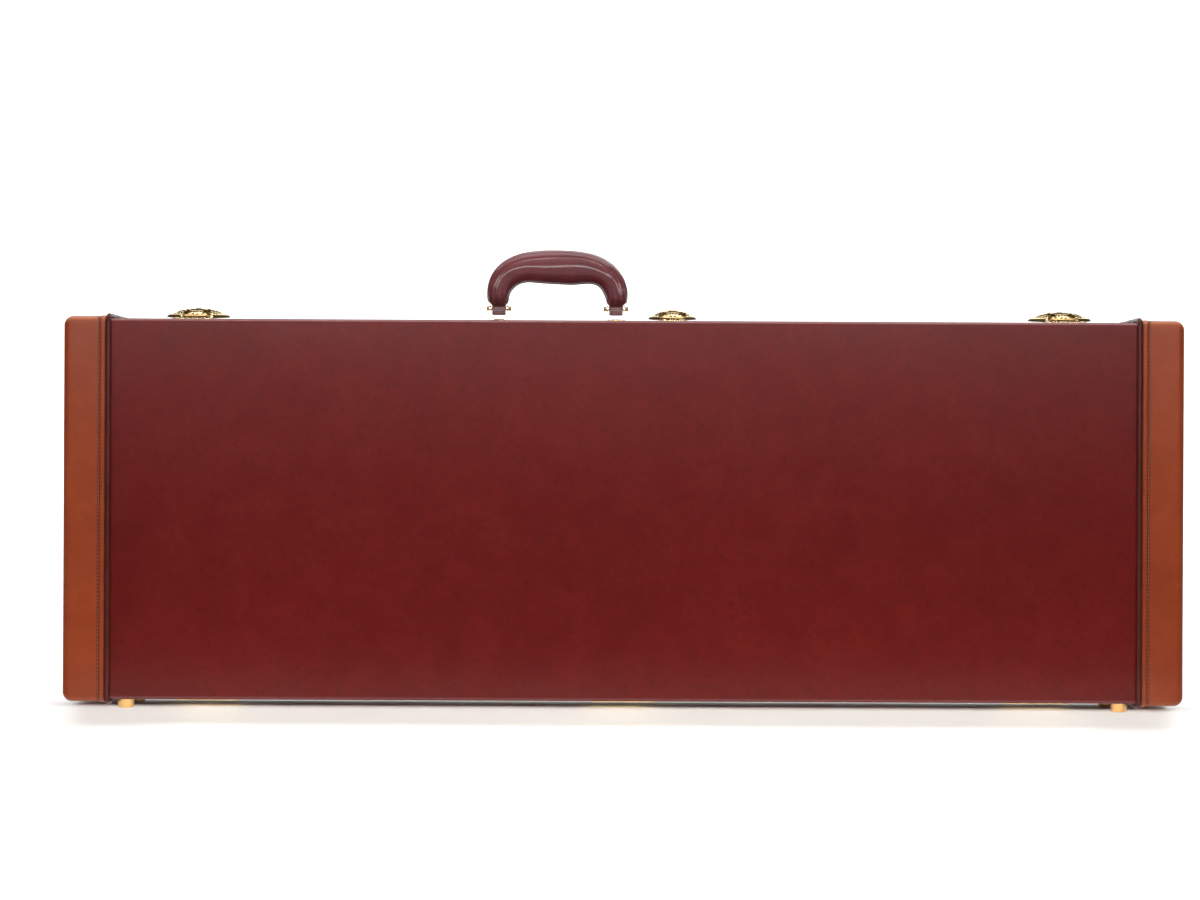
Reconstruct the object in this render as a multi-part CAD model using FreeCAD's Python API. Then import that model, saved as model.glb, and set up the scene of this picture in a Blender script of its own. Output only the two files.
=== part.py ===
import FreeCAD, Part
import math
import os

# Rectangular hardshell guitar case for a solid-body electric guitar.
# It stands on its long side on four small feet: +Z is up, X runs along the
# case, Y through its depth with the lid half in front (-Y).
# Origin: under the middle of the case, on the plane of the feet. Millimetres.

V = FreeCAD.Vector

# ---------------------------------------------------------------- dimensions
LENGTH = 1067.0          # over the leather end caps
FOOT_H = 9.0             # underside of the covered shell above the floor
HEIGHT = 363.0           # covered shell, bottom to top
DEPTH = 110.0            # covered shell, front to back
LID_DEPTH = 41.0         # depth of the lid half
SPLIT_GAP = 0.8          # gap between the two halves

LEATHER_T = 2.0          # leather of the end caps
COVER_T = 1.0            # leatherette
PLY_T = 6.0              # plywood rim
PANEL_T = 4.0            # plywood front and back panels
CAP_W = 40.5             # how far an end cap reaches along the case
CORNER_R = 9.0           # corner of the end cap seen from the front
EDGE_R = 6.0             # edge of the end cap, face to side
WELT_R = 2.5             # piping beside each end cap

HINGE_X = (-400.0, 0.0, 400.0)
HINGE_LEN = 61.5
HINGE_R = 1.8
HINGE_PIN_R = 0.9
HINGE_Z = 6.9

LATCH_X = {"left": -413.0, "middle": 47.0, "right": 423.0}
LATCH_HALF = {"left": 31.0, "middle": 23.5, "right": 31.0}
LATCH_Y = 4.0            # middle of the lever's dome
LEVER_HALF_Y = 18.0
LEVER_DOME_H = 9.6
LEVER_Z = 3.4            # underside of the dome above the top of the case
LEVER_T = 1.4
PIVOT_Y, PIVOT_Z = -7.0, 5.4
PIVOT_R = 1.4
EAR_R = 2.4
FRONT_T = 1.2            # front wall of the lever
BAIL_Y, BAIL_Z = 0.0, 3.8
BAIL_R = 1.2
BAIL_HALF = 11.0
HOOK_Y = -25.0
PLATE_T = 1.2

HANDLE_X = -64.7
HANDLE_Y = 14.0
HANDLE_LEG = 57.0        # half the distance between the two legs
HANDLE_PIN_Z = 14.0      # above the top of the case
HANDLE_PIN_R = 1.5
LOOP_Z = 2.1
LOOP_R = 1.0
LOOP_HALF = 8.25

FOOT_X = 475.5
FOOT_Y_LID = -36.0
FOOT_Y_BODY = 36.0
FOOT_R_TOP = 8.2
FOOT_R_BOTTOM = 7.3

RUN = 0.05               # radial clearance of a running fit

# ------------------------------------------------------------ derived planes
Z0 = FOOT_H
Z1 = FOOT_H + HEIGHT     # top of the covered shell
YF = -DEPTH / 2.0
YB = DEPTH / 2.0
SPLIT = YF + LID_DEPTH
LID_Y = SPLIT - SPLIT_GAP / 2.0
BODY_Y = SPLIT + SPLIT_GAP / 2.0
HX = LENGTH / 2.0 - LEATHER_T            # half length of the covered shell
CAP_X = LENGTH / 2.0 - CAP_W             # inner edge of an end cap
PX = HX - COVER_T                        # plywood, outside
IX = PX - PLY_T                          # plywood, inside
IZ0 = Z0 + COVER_T + PLY_T
IZ1 = Z1 - COVER_T - PLY_T
IYF = YF + COVER_T + PANEL_T
IYB = YB - COVER_T - PANEL_T

os.makedirs("parts", exist_ok=True)
parts = {}


def keep(name, shape):
    """Keep one sub-part: a solid, or a group of separate solids."""
    solids = shape.Solids
    shape = solids[0] if len(solids) == 1 else Part.makeCompound(solids)
    parts[name] = shape
    return shape


def box(x0, x1, y0, y1, z0, z1):
    return Part.makeBox(x1 - x0, y1 - y0, z1 - z0, V(x0, y0, z0))


def cyl(r, p0, p1):
    a, b = V(*p0), V(*p1)
    return Part.makeCylinder(r, (b - a).Length, a, b - a)


def fillet(shape, r, pick):
    edges = [e for e in shape.Edges if pick(e)]
    return shape.makeFillet(r, edges) if edges else shape


def along(e, axis, tol=1e-4):
    """True for a straight edge that runs along one axis."""
    if len(e.Vertexes) != 2 or e.Curve.TypeId != "Part::GeomLine":
        return False
    d = e.Vertexes[1].Point - e.Vertexes[0].Point
    d = (abs(d.x), abs(d.y), abs(d.z))
    return d[axis] > tol and all(d[i] < tol for i in range(3) if i != axis)


def half(hx, z0, z1, y0, y1, corner, edge, face_y):
    """Rounded box of one half; the edge round the outer face is rounded too."""
    b = box(-hx, hx, y0, y1, z0, z1)
    if corner > 0:
        b = fillet(b, corner, lambda e: along(e, 1))
    if edge > 0:
        b = fillet(b, edge, lambda e: all(abs(v.Point.y - face_y) < 1e-4
                                          for v in e.Vertexes))
    return b


def shell_layer(grow, y_rim, lid, inner_grow):
    """Layer between two offsets of the covered shell, open at the rim."""
    def solid(g):
        c = max(CORNER_R - LEATHER_T + g, 1.0)
        r = max(EDGE_R - LEATHER_T + g, 0.8)
        if lid:
            return half(HX + g, Z0 - g, Z1 + g, YF - g, y_rim, c, r, YF - g)
        return half(HX + g, Z0 - g, Z1 + g, y_rim, YB + g, c, r, YB + g)
    return solid(grow).cut(solid(inner_grow))


def tube_along(points, r):
    """Round section along straight runs (2 points) and arcs (3 points)."""
    edges = []
    for p in points:
        if len(p) == 2:
            edges.append(Part.makeLine(V(*p[0]), V(*p[1])))
        else:
            edges.append(Part.Arc(V(*p[0]), V(*p[1]), V(*p[2])).toShape())
    wire = Part.Wire(edges)
    start = V(*points[0][0])
    if len(points[0]) == 2:
        d = V(*points[0][1]) - start
    else:
        d = edges[0].tangentAt(edges[0].FirstParameter)
    prof = Part.Wire([Part.makeCircle(r, start, d)])
    return wire.makePipeShell([prof], True, False)


def dome(r, h, x, y, z, down=False, shank=0.0, depth=0.0):
    """Round rivet head of radius r and height h, turned with its shank."""
    rs = (r * r + h * h) / (2.0 * h)
    k = 0.5 * math.asin(r / rs)
    e = [Part.Arc(V(0, 0, h), V(rs * math.sin(k), 0, h - rs + rs * math.cos(k)),
                  V(r, 0, 0)).toShape()]
    path = [V(r, 0, 0)]
    if shank:
        path += [V(shank, 0, 0), V(shank, 0, -depth), V(0, 0, -depth)]
    else:
        path += [V(0, 0, 0)]
    path.append(V(0, 0, h))
    e += [Part.makeLine(p, q) for p, q in zip(path, path[1:])]
    s = Part.Face(Part.Wire(e)).revolve(V(0, 0, 0), V(0, 0, 1), 360)
    if s.ShapeType != "Solid":
        s = Part.makeSolid(s)
    if down:
        s.rotate(V(0, 0, 0), V(1, 0, 0), 180)
    s.translate(V(x, y, z))
    return s


# ------------------------------------------------------------- plywood shells
def ply_shell(lid):
    if lid:
        outer = half(PX, Z0 + COVER_T, Z1 - COVER_T, YF + COVER_T, LID_Y,
                     6.0, 3.0, YF + COVER_T)
        inner = half(IX, IZ0, IZ1, IYF, LID_Y + 5, 1.5, 0, 0)
    else:
        outer = half(PX, Z0 + COVER_T, Z1 - COVER_T, BODY_Y, YB - COVER_T,
                     6.0, 3.0, YB - COVER_T)
        inner = half(IX, IZ0, IZ1, BODY_Y - 5, IYB, 1.5, 0, 0)
    return outer.cut(inner)


SCREW_R = 1.6
SCREW_IN = 6.0           # how far a foot screw goes into the shell
foot_holes_lid = Part.makeCompound(
    [cyl(SCREW_R, (sx * FOOT_X, FOOT_Y_LID, 1.0),
         (sx * FOOT_X, FOOT_Y_LID, Z0 + SCREW_IN)) for sx in (-1, 1)])
foot_holes_body = Part.makeCompound(
    [cyl(SCREW_R, (sx * FOOT_X, FOOT_Y_BODY, 1.0),
         (sx * FOOT_X, FOOT_Y_BODY, Z0 + SCREW_IN)) for sx in (-1, 1)])

# each half is a rim of four boards with a flat panel glued on its outer face
lid_shell = ply_shell(True).cut(foot_holes_lid)
body_shell = ply_shell(False).cut(foot_holes_body)
keep("lid_front_panel", lid_shell.common(box(-600, 600, -100, IYF, -10, 500)))
keep("lid_rim", lid_shell.common(box(-600, 600, IYF, 100, -10, 500)))
keep("body_back_panel", body_shell.common(box(-600, 600, IYB, 100, -10, 500)))
keep("body_rim", body_shell.common(box(-600, 600, -100, IYB, -10, 500)))

# ----------------------------------------------------------- leatherette skin
keep("lid_cover", shell_layer(0.0, LID_Y, True, -COVER_T).cut(foot_holes_lid))
keep("body_cover",
     shell_layer(0.0, BODY_Y, False, -COVER_T).cut(foot_holes_body))

# ------------------------------------------------------------ leather end caps
for half_name, lid, rim in (("lid", True, LID_Y), ("body", False, BODY_Y)):
    layer = shell_layer(LEATHER_T, rim, lid, 0.0)
    for side, sx in (("left", -1), ("right", 1)):
        lo, hi = sorted((sx * CAP_X, sx * (LENGTH / 2.0 + 5)))
        keep("%s_end_cap_%s" % (half_name, side),
             layer.common(box(lo, hi, YF - 10, YB + 10, -5, Z1 + 10)))

# ------------------------------------------------------- welts beside the caps
# Each runs over the top, down the face and under the bottom of its half. The
# lower ends stop short of the split, so that they clear when the lid opens.
WO = WELT_R                               # centre above the covered surface
WC = EDGE_R - LEATHER_T + WELT_R          # path radius round the shell's edge
WX = CAP_X - WELT_R


def welt(sx, lid):
    x = sx * WX
    s = -1 if lid else 1
    yf = (YF - WO) if lid else (YB + WO)
    y_top = LID_Y if lid else BODY_Y
    y_bot = SPLIT - 8.0 if lid else SPLIT + 4.5
    zt, zb = Z1 + WO, Z0 - WO
    k = WC * (1 - math.sqrt(0.5))
    ya = yf - s * WC
    return tube_along([
        ((x, y_top, zt), (x, ya, zt)),
        ((x, ya, zt), (x, yf - s * k, zt - k), (x, yf, zt - WC)),
        ((x, yf, zt - WC), (x, yf, zb + WC)),
        ((x, yf, zb + WC), (x, yf - s * k, zb + k), (x, ya, zb)),
        ((x, ya, zb), (x, y_bot, zb))], WELT_R)


for side, sx in (("left", -1), ("right", 1)):
    keep("lid_welt_%s" % side, welt(sx, True))
    keep("body_welt_%s" % side, welt(sx, False))

# ------------------------------------------- rim lip that the lid closes over
LIP_T = 2.5
LIP_OUT = 8.0            # how far it stands into the lid
LIP_GAP = 0.6            # clearance to the lid's plywood
LIP_IN = 24.0            # how far it reaches down inside the body half


def frame_ring(hx, z0, z1, y0, y1, t, r):
    o = fillet(box(-hx, hx, y0, y1, z0, z1), r, lambda e: along(e, 1))
    i = fillet(box(-hx + t, hx - t, y0 - 1, y1 + 1, z0 + t, z1 - t),
               max(r - t, 0.8), lambda e: along(e, 1))
    return o.cut(i)


lip_low = frame_ring(IX, IZ0, IZ1, BODY_Y, SPLIT + LIP_IN, LIP_T, 1.5)
lip_high = frame_ring(IX - LIP_GAP, IZ0 + LIP_GAP, IZ1 - LIP_GAP,
                      SPLIT - LIP_OUT, BODY_Y + 4.0, LIP_T - LIP_GAP, 1.5)
keep("body_rim_lip", lip_low.fuse(lip_high).removeSplitter())

# ----------------------------------------------------------- plush linings
LINING_T = 2.5
LINING_FLOOR = 4.0
o = half(IX, IZ0, IZ1, SPLIT + LIP_IN, IYB, 1.5, 0, 0)
i = half(IX - LINING_T, IZ0 + LINING_T, IZ1 - LINING_T, SPLIT + LIP_IN - 5,
         IYB - LINING_FLOOR, 1.0, 0, 0)
keep("body_lining", o.cut(i))
LID_LINE_Y = SPLIT - LIP_OUT - 1.5
o = half(IX, IZ0, IZ1, IYF, LID_LINE_Y, 1.5, 0, 0)
i = half(IX - LINING_T, IZ0 + LINING_T, IZ1 - LINING_T, IYF + LINING_FLOOR,
         LID_LINE_Y + 5, 1.0, 0, 0)
keep("lid_lining", o.cut(i))

FLOOR_Y = IYB - LINING_FLOOR             # surface of the lined back
LX = IX - LINING_T - 0.5                 # clear inside, along X
LZ0 = IZ0 + LINING_T + 0.5
LZ1 = IZ1 - LINING_T - 0.5
MID_Z = (LZ0 + LZ1) / 2.0
BED_Y = -2.0                             # upper surface of the padding

# guitar bed: padding round a space with the outline of a solid body
BED_X = 40.0
outline = [(505, 0), (499, 70), (474, 130), (425, 160), (365, 153),
           (305, 126), (255, 118), (205, 133), (155, 151), (115, 140),
           (93, 100)]
pts = [V(x, BED_Y - 5, MID_Z + z) for x, z in outline]
pts += [V(x, BED_Y - 5, MID_Z - z) for x, z in outline[:0:-1]]
curve = Part.BSplineCurve()
curve.interpolate(pts, True)
well = Part.Face(Part.Wire([curve.toShape()])).extrude(
    V(0, FLOOR_Y - BED_Y + 10, 0))
NECK_W = 36.0
bed = box(BED_X, LX, BED_Y, FLOOR_Y, LZ0, LZ1)
bed = bed.cut(well.fuse(box(BED_X - 5, 150, BED_Y - 5, FLOOR_Y + 5,
                            MID_Z - NECK_W, MID_Z + NECK_W)))
keep("guitar_bed", bed)

# neck cradle with a round-bottomed groove
NC_X0, NC_X1 = -32.0, 32.0
NC_Z = 60.0
cradle = box(NC_X0, NC_X1, 6.0, FLOOR_Y, MID_Z - NC_Z, MID_Z + NC_Z)
cradle = fillet(cradle, 5.0, lambda e: along(e, 1) or (
    along(e, 0) and abs(e.Vertexes[0].Point.y - 6.0) < 1e-4))
groove = cyl(28.0, (NC_X0 - 5, 2.0, MID_Z), (NC_X1 + 5, 2.0, MID_Z))
groove = groove.fuse(box(NC_X0 - 5, NC_X1 + 5, -20, 2.0,
                         MID_Z - 28, MID_Z + 28))
keep("neck_cradle", cradle.cut(groove))

# pads beside the neck and behind the headstock
AB_X0, AB_X1 = -330.0, -36.0
AB_Z1 = MID_Z - 61.0
pad = box(AB_X0, BED_X - 2.0, BED_Y, FLOOR_Y, MID_Z + 61.0, LZ1)
keep("neck_side_pad", fillet(pad, 8.0, lambda e: (
    along(e, 0) or along(e, 2)) and e.BoundBox.YMax < BED_Y + 0.01 and not (
    along(e, 0) and e.BoundBox.ZMin > LZ1 - 0.1)))
pad = box(-LX, -LX + 32.0, 0.0, FLOOR_Y, MID_Z - 130, MID_Z + 130)
keep("headstock_pad", fillet(pad, 8.0, lambda e: (
    along(e, 2) and e.BoundBox.YMax < 0.01 and e.BoundBox.XMin > -LX + 20)
    or (along(e, 1) and e.BoundBox.XMin > -LX + 20)))

# accessory compartment: a box with a lid hinged along its lower side
AB_T = 3.0
ab = box(AB_X0, AB_X1, BED_Y - 0.5, FLOOR_Y, LZ0, AB_Z1)
ab = ab.cut(box(AB_X0 + AB_T, AB_X1 - AB_T, BED_Y - 10, FLOOR_Y - 2.0,
                LZ0 + AB_T, AB_Z1 - AB_T))
keep("accessory_box", ab)
ACC_Y1 = BED_Y - 0.8
ACC_Y0 = ACC_Y1 - 3.0
acc = box(AB_X0, AB_X1, ACC_Y0, ACC_Y1, LZ0 + 3.0, AB_Z1)
keep("accessory_lid", fillet(acc, 1.0, lambda e: e.BoundBox.YMax
                             < ACC_Y0 + 0.01))
TAB_X = (AB_X0 + AB_X1) / 2.0
tab = box(TAB_X - 8, TAB_X + 8, ACC_Y0 - 1.2, ACC_Y0, AB_Z1 - 26, AB_Z1 + 16)
keep("accessory_pull_tab", fillet(tab, 6.0, lambda e: along(e, 1)
                                  and e.BoundBox.ZMin > AB_Z1))

# pad in the lid over the guitar's body
pad = box(70.0, 500.0, IYF + LINING_FLOOR, IYF + LINING_FLOOR + 11.0,
          MID_Z - 150, MID_Z + 150)
pad = fillet(pad, 40.0, lambda e: along(e, 1))
keep("lid_pad", fillet(pad, 5.0, lambda e: e.BoundBox.YMin
                       > IYF + LINING_FLOOR + 10.9))

# ----------------------------------------------------------------------- feet
HEAD_R = 3.3


def foot(sx, y):
    x = sx * FOOT_X
    c = Part.makeCone(FOOT_R_BOTTOM, FOOT_R_TOP, FOOT_H, V(x, y, 0))
    c = fillet(c, 0.8, lambda e: e.BoundBox.ZMax < 0.01
               and e.Curve.TypeId == "Part::GeomCircle")
    c = c.cut(cyl(HEAD_R, (x, y, -1), (x, y, 2.2)))
    return c.cut(cyl(SCREW_R, (x, y, -1), (x, y, FOOT_H + 1)))


def foot_screw(sx, y):
    x = sx * FOOT_X
    s = cyl(HEAD_R - 0.15, (x, y, 0.6), (x, y, 2.2))
    s = s.fuse(cyl(SCREW_R, (x, y, 2.0), (x, y, Z0 + SCREW_IN)))
    return s.cut(box(x - 5, x + 5, y - 0.4, y + 0.4, -1, 1.2))


for half_name, y in (("lid", FOOT_Y_LID), ("body", FOOT_Y_BODY)):
    keep("feet_%s" % half_name,
         Part.makeCompound([foot(-1, y), foot(1, y)]))
    keep("foot_screws_%s" % half_name,
         Part.makeCompound([foot_screw(-1, y), foot_screw(1, y)]))

# --------------------------------------------------------------------- hinges
KN = 5
KL = (HINGE_LEN - 0.3 * (KN - 1)) / KN
LEAF_T = 1.0
LEAF_W = 18.0


def hinge_leaf(xc, lid):
    s = -1 if lid else 1
    y_in, y_out = SPLIT + s * 2.3, SPLIT + s * (2.3 + LEAF_W)
    lo, hi = sorted((y_in, y_out))
    x0 = xc - HINGE_LEN / 2.0
    plate = box(x0, x0 + HINGE_LEN, lo, hi, Z0 - LEAF_T, Z0)
    plate = fillet(plate, 4.0, lambda e: along(e, 2)
                   and abs(e.Vertexes[0].Point.y - y_out) < 1e-4)
    out = plate
    for k in range(KN):
        if (k % 2 == 1) != lid:
            continue
        a = x0 + k * (KL + 0.3)
        out = out.fuse(cyl(HINGE_R, (a, SPLIT, HINGE_Z),
                           (a + KL, SPLIT, HINGE_Z)))
        lo2, hi2 = sorted((SPLIT + s * 0.5, y_in))
        out = out.fuse(box(a, a + KL, lo2, hi2, Z0 - LEAF_T - 0.6, Z0 - 0.35))
    r = HINGE_PIN_R + (RUN if lid else 0.0)
    out = out.cut(cyl(r, (x0 - 5, SPLIT, HINGE_Z),
                      (x0 + HINGE_LEN + 5, SPLIT, HINGE_Z)))
    holes = [cyl(1.3, (xc + dx, SPLIT + s * (2.3 + dy), Z0 - 5),
                 (xc + dx, SPLIT + s * (2.3 + dy), Z0 + 5))
             for dx, dy in HINGE_HOLES]
    return out.cut(Part.makeCompound(holes)).removeSplitter()


HINGE_HOLES = ((-22.0, 7.0), (0.0, 12.5), (22.0, 7.0))
for half_name, lid in (("lid", True), ("body", False)):
    s = -1 if lid else 1
    keep("hinge_leaves_%s" % half_name,
         Part.makeCompound([hinge_leaf(x, lid) for x in HINGE_X]))
    rivets = []
    for xc in HINGE_X:
        for dx, dy in HINGE_HOLES:
            x, y = xc + dx, SPLIT + s * (2.3 + dy)
            rivets.append(dome(2.3, 1.0, x, y, Z0 - LEAF_T, True, 1.3, LEAF_T))
    keep("hinge_rivets_%s" % half_name, Part.makeCompound(rivets))
keep("hinge_pins", Part.makeCompound(
    [cyl(HINGE_PIN_R, (x - HINGE_LEN / 2 - 0.6, SPLIT, HINGE_Z),
         (x + HINGE_LEN / 2 + 0.6, SPLIT, HINGE_Z)) for x in HINGE_X]))

# -------------------------------------------------------------------- latches
T = Z1


def ellipsoid(xc, yc, zc, a, b, c):
    m = FreeCAD.Matrix()
    m.scale(a, b, c)
    s = Part.makeSphere(1.0).transformGeometry(m)
    s.translate(V(xc, yc, zc))
    return s


def oval_plate(xc, hx, y0, y1, z0, z1, r):
    return fillet(box(xc - hx, xc + hx, y0, y1, z0, z1), r,
                  lambda e: along(e, 2))


def latch_base(xc, hx):
    p = oval_plate(xc, hx + 2.0, -11.5, 24.0, T, T + PLATE_T, 15.0)
    for sx in (-1, 1):
        lo, hi = sorted((xc + sx * 6.6, xc + sx * 8.1))
        ear = cyl(EAR_R, (lo, PIVOT_Y, T + PIVOT_Z),
                  (hi, PIVOT_Y, T + PIVOT_Z))
        ear = ear.fuse(box(lo, hi, PIVOT_Y - EAR_R, PIVOT_Y + EAR_R,
                           T + 0.5, T + PIVOT_Z))
        p = p.fuse(ear)
    p = p.cut(cyl(PIVOT_R, (xc - 20, PIVOT_Y, T + PIVOT_Z),
                  (xc + 20, PIVOT_Y, T + PIVOT_Z)))
    for dx, y in latch_holes(hx):
        p = p.cut(cyl(1.2, (xc + dx, y, T - 2), (xc + dx, y, T + 4)))
    return p.removeSplitter()


def latch_holes(hx):
    return ((-hx + 5.0, 6.0), (hx - 5.0, 6.0), (0.0, 15.0))


def latch_lever(xc, hx, lock):
    zb = T + LEVER_Z
    outer = ellipsoid(xc, LATCH_Y, zb, hx, LEVER_HALF_Y, LEVER_DOME_H)
    inner = ellipsoid(xc, LATCH_Y, zb, hx - LEVER_T, LEVER_HALF_Y - LEVER_T,
                      LEVER_DOME_H - LEVER_T)
    front = PIVOT_Y - 4.0
    cut_o = box(xc - 60, xc + 60, front, 60, zb, zb + 40)
    cut_i = box(xc - 60, xc + 60, front + FRONT_T, 60, zb - 20, zb + 40)
    d = outer.common(cut_o).cut(inner.common(cut_i))
    # the front wall stops above the base plate and leaves room for its ears
    d = d.cut(box(xc - 60, xc + 60, front - 2, front + FRONT_T + 0.1,
                  zb - 5, T + 4.6))
    for sx in (-1, 1):
        lo, hi = sorted((xc + sx * 6.3, xc + sx * (BAIL_HALF + 1.6)))
        d = d.cut(box(lo, hi, front - 2, PIVOT_Y - 0.6, zb - 5, zb + 20))
    # flanges down to the pivot, and a lug for the bail's rear bar
    room = ellipsoid(xc, LATCH_Y, zb, hx - 0.4, LEVER_HALF_Y - 0.4,
                     LEVER_DOME_H - 0.4)
    add = []
    for sx in (-1, 1):
        lo, hi = sorted((xc + sx * 4.6, xc + sx * 6.1))
        f = box(lo, hi, front + 0.5, PIVOT_Y + EAR_R, T + PIVOT_Z, zb + 12)
        f = f.common(room)
        add.append(f.fuse(cyl(EAR_R, (lo, PIVOT_Y, T + PIVOT_Z),
                              (hi, PIVOT_Y, T + PIVOT_Z))))
    web = box(xc - 5.5, xc + 5.5, BAIL_Y - 1.1, BAIL_Y + 1.1,
              T + BAIL_Z, zb + 12).common(room)
    add.append(web.fuse(cyl(2.2, (xc - 5.5, BAIL_Y, T + BAIL_Z),
                            (xc + 5.5, BAIL_Y, T + BAIL_Z))))
    for a in add:
        d = d.fuse(a)
    d = d.cut(cyl(PIVOT_R + RUN, (xc - 20, PIVOT_Y, T + PIVOT_Z),
                  (xc + 20, PIVOT_Y, T + PIVOT_Z)))
    d = d.cut(cyl(BAIL_R + RUN, (xc - 8, BAIL_Y, T + BAIL_Z),
                  (xc + 8, BAIL_Y, T + BAIL_Z)))
    # slots through which the bail's arms pass when the lever is lifted
    for sx in (-1, 1):
        lo, hi = sorted((xc + sx * (BAIL_HALF - 1.6),
                         xc + sx * (BAIL_HALF + 1.6)))
        d = d.cut(box(lo, hi, front - 2, BAIL_Y + 1.9, zb - 5, zb + 20))
    if lock:
        d = d.cut(cyl(LOCK_R + RUN, (xc, LOCK_Y, T + 5), (xc, LOCK_Y, T + 30)))
    return d


LOCK_R = 4.0
LOCK_Y = 9.0


def latch_bail(xc):
    y0, y1, z = HOOK_Y, BAIL_Y, T + BAIL_Z
    a, b = xc - BAIL_HALF, xc + BAIL_HALF
    r = 2.4
    k = r * (1 - math.sqrt(0.5))
    run = [
        ((xc, y0, z), (b - r, y0, z)),
        ((b - r, y0, z), (b - k, y0 + k, z), (b, y0 + r, z)),
        ((b, y0 + r, z), (b, y1 - r, z)),
        ((b, y1 - r, z), (b - k, y1 - k, z), (b - r, y1, z)),
        ((b - r, y1, z), (a + r, y1, z)),
        ((a + r, y1, z), (a + k, y1 - k, z), (a, y1 - r, z)),
        ((a, y1 - r, z), (a, y0 + r, z)),
        ((a, y0 + r, z), (a + k, y0 + k, z), (a + r, y0, z)),
        ((a + r, y0, z), (xc, y0, z))]
    # two open halves joined, so that the closed loop is a sound solid
    one = tube_along(run[:4] + [((b - r, y1, z), (xc, y1, z))], BAIL_R)
    two = tube_along([((xc, y1, z), (a + r, y1, z))] + run[5:], BAIL_R)
    return one.fuse(two).removeSplitter()


def keeper(xc, hx):
    p = oval_plate(xc, hx - 9.0, -37.0, -17.0, T, T + PLATE_T, 8.0)
    lug = box(xc - 7, xc + 7, HOOK_Y + BAIL_R + 0.3, HOOK_Y + BAIL_R + 1.9,
              T + 0.5, T + 6.8)
    lug = fillet(lug, 2.0, lambda e: along(e, 1)
                 and e.BoundBox.ZMin > T + 6)
    p = p.fuse(lug)
    for dx in (-hx + 14.5, hx - 14.5):
        p = p.cut(cyl(1.2, (xc + dx, -31.0, T - 2), (xc + dx, -31.0, T + 4)))
    return p.removeSplitter()


pins, rivets, keeper_rivets = [], [], []
for side, xc in LATCH_X.items():
    hx = LATCH_HALF[side]
    keep("latch_base_%s" % side, latch_base(xc, hx))
    keep("latch_lever_%s" % side, latch_lever(xc, hx, side == "middle"))
    keep("latch_bail_%s" % side, latch_bail(xc))
    keep("latch_keeper_%s" % side, keeper(xc, hx))
    pins.append(cyl(PIVOT_R, (xc - 8.9, PIVOT_Y, T + PIVOT_Z),
                    (xc + 8.9, PIVOT_Y, T + PIVOT_Z)))
    for dx, y in latch_holes(hx):
        rivets.append(dome(2.0, 0.9, xc + dx, y, T + PLATE_T, False,
                           1.2, PLATE_T))
    for dx in (-hx + 14.5, hx - 14.5):
        keeper_rivets.append(
            dome(2.0, 0.9, xc + dx, -31.0, T + PLATE_T, False,
                 1.2, PLATE_T))
keep("latch_pins", Part.makeCompound(pins))
keep("latch_rivets", Part.makeCompound(rivets))
keep("keeper_rivets", Part.makeCompound(keeper_rivets))

# key cylinder in the dome of the middle latch
xm = LATCH_X["middle"]
lock = cyl(LOCK_R, (xm, LOCK_Y, T + 8.0), (xm, LOCK_Y, T + 13.4))
lock = fillet(lock, 0.5, lambda e: e.BoundBox.ZMin > T + 13.3
              and e.Curve.TypeId == "Part::GeomCircle")
lock = lock.cut(box(xm - 0.5, xm + 0.5, LOCK_Y - 2.6, LOCK_Y + 2.6,
                    T + 9.5, T + 20))
keep("lock_cylinder", lock)

# --------------------------------------------------------------------- handle
# (outer, inner) points of the grip in its own plane: u along the case from the
# middle of the handle, v above the top of the case; w is half the thickness.
SECTIONS = [
    ((-65.6, 16.0), (-49.0, 16.0), 5.6),
    ((-67.6, 21.0), (-47.8, 20.0), 8.6),
    ((-68.6, 27.0), (-46.8, 26.0), 10.2),
    ((-67.6, 38.0), (-44.6, 31.5), 11.2),
    ((-62.6, 50.0), (-40.0, 36.5), 12.0),
    ((-52.6, 60.5), (-33.5, 39.2), 12.8),
    ((-37.6, 67.4), (-25.5, 39.8), 13.4),
    ((-19.5, 70.4), (-14.0, 38.9), 13.8),
    ((0.0, 71.3), (0.0, 38.0), 14.0),
    ((20.5, 70.2), (14.5, 37.8), 13.8),
    ((38.8, 66.2), (27.5, 38.8), 13.4),
    ((53.4, 58.2), (36.0, 37.8), 12.8),
    ((63.0, 46.6), (42.0, 34.0), 12.0),
    ((67.6, 35.0), (45.4, 28.6), 11.2),
    ((68.5, 26.0), (47.2, 23.8), 10.2),
    ((67.5, 20.5), (48.2, 19.6), 8.6),
    ((65.6, 16.0), (49.0, 16.0), 5.6),
]


def section(o, i, w):
    cx, cz = (o[0] + i[0]) / 2.0, (o[1] + i[1]) / 2.0
    dx, dz = o[0] - i[0], o[1] - i[1]
    ln = math.hypot(dx, dz)
    ux = V(dx / ln, 0, dz / ln)
    a, b = ln / 2.0, w
    c = V(HANDLE_X + cx, HANDLE_Y, T + cz)
    pts = []
    for k in range(24):
        t = 2 * math.pi * k / 24.0
        pts.append(c + ux * (a * math.cos(t)) + V(0, b * math.sin(t), 0))
    return Part.makePolygon(pts + [pts[0]])


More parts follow.
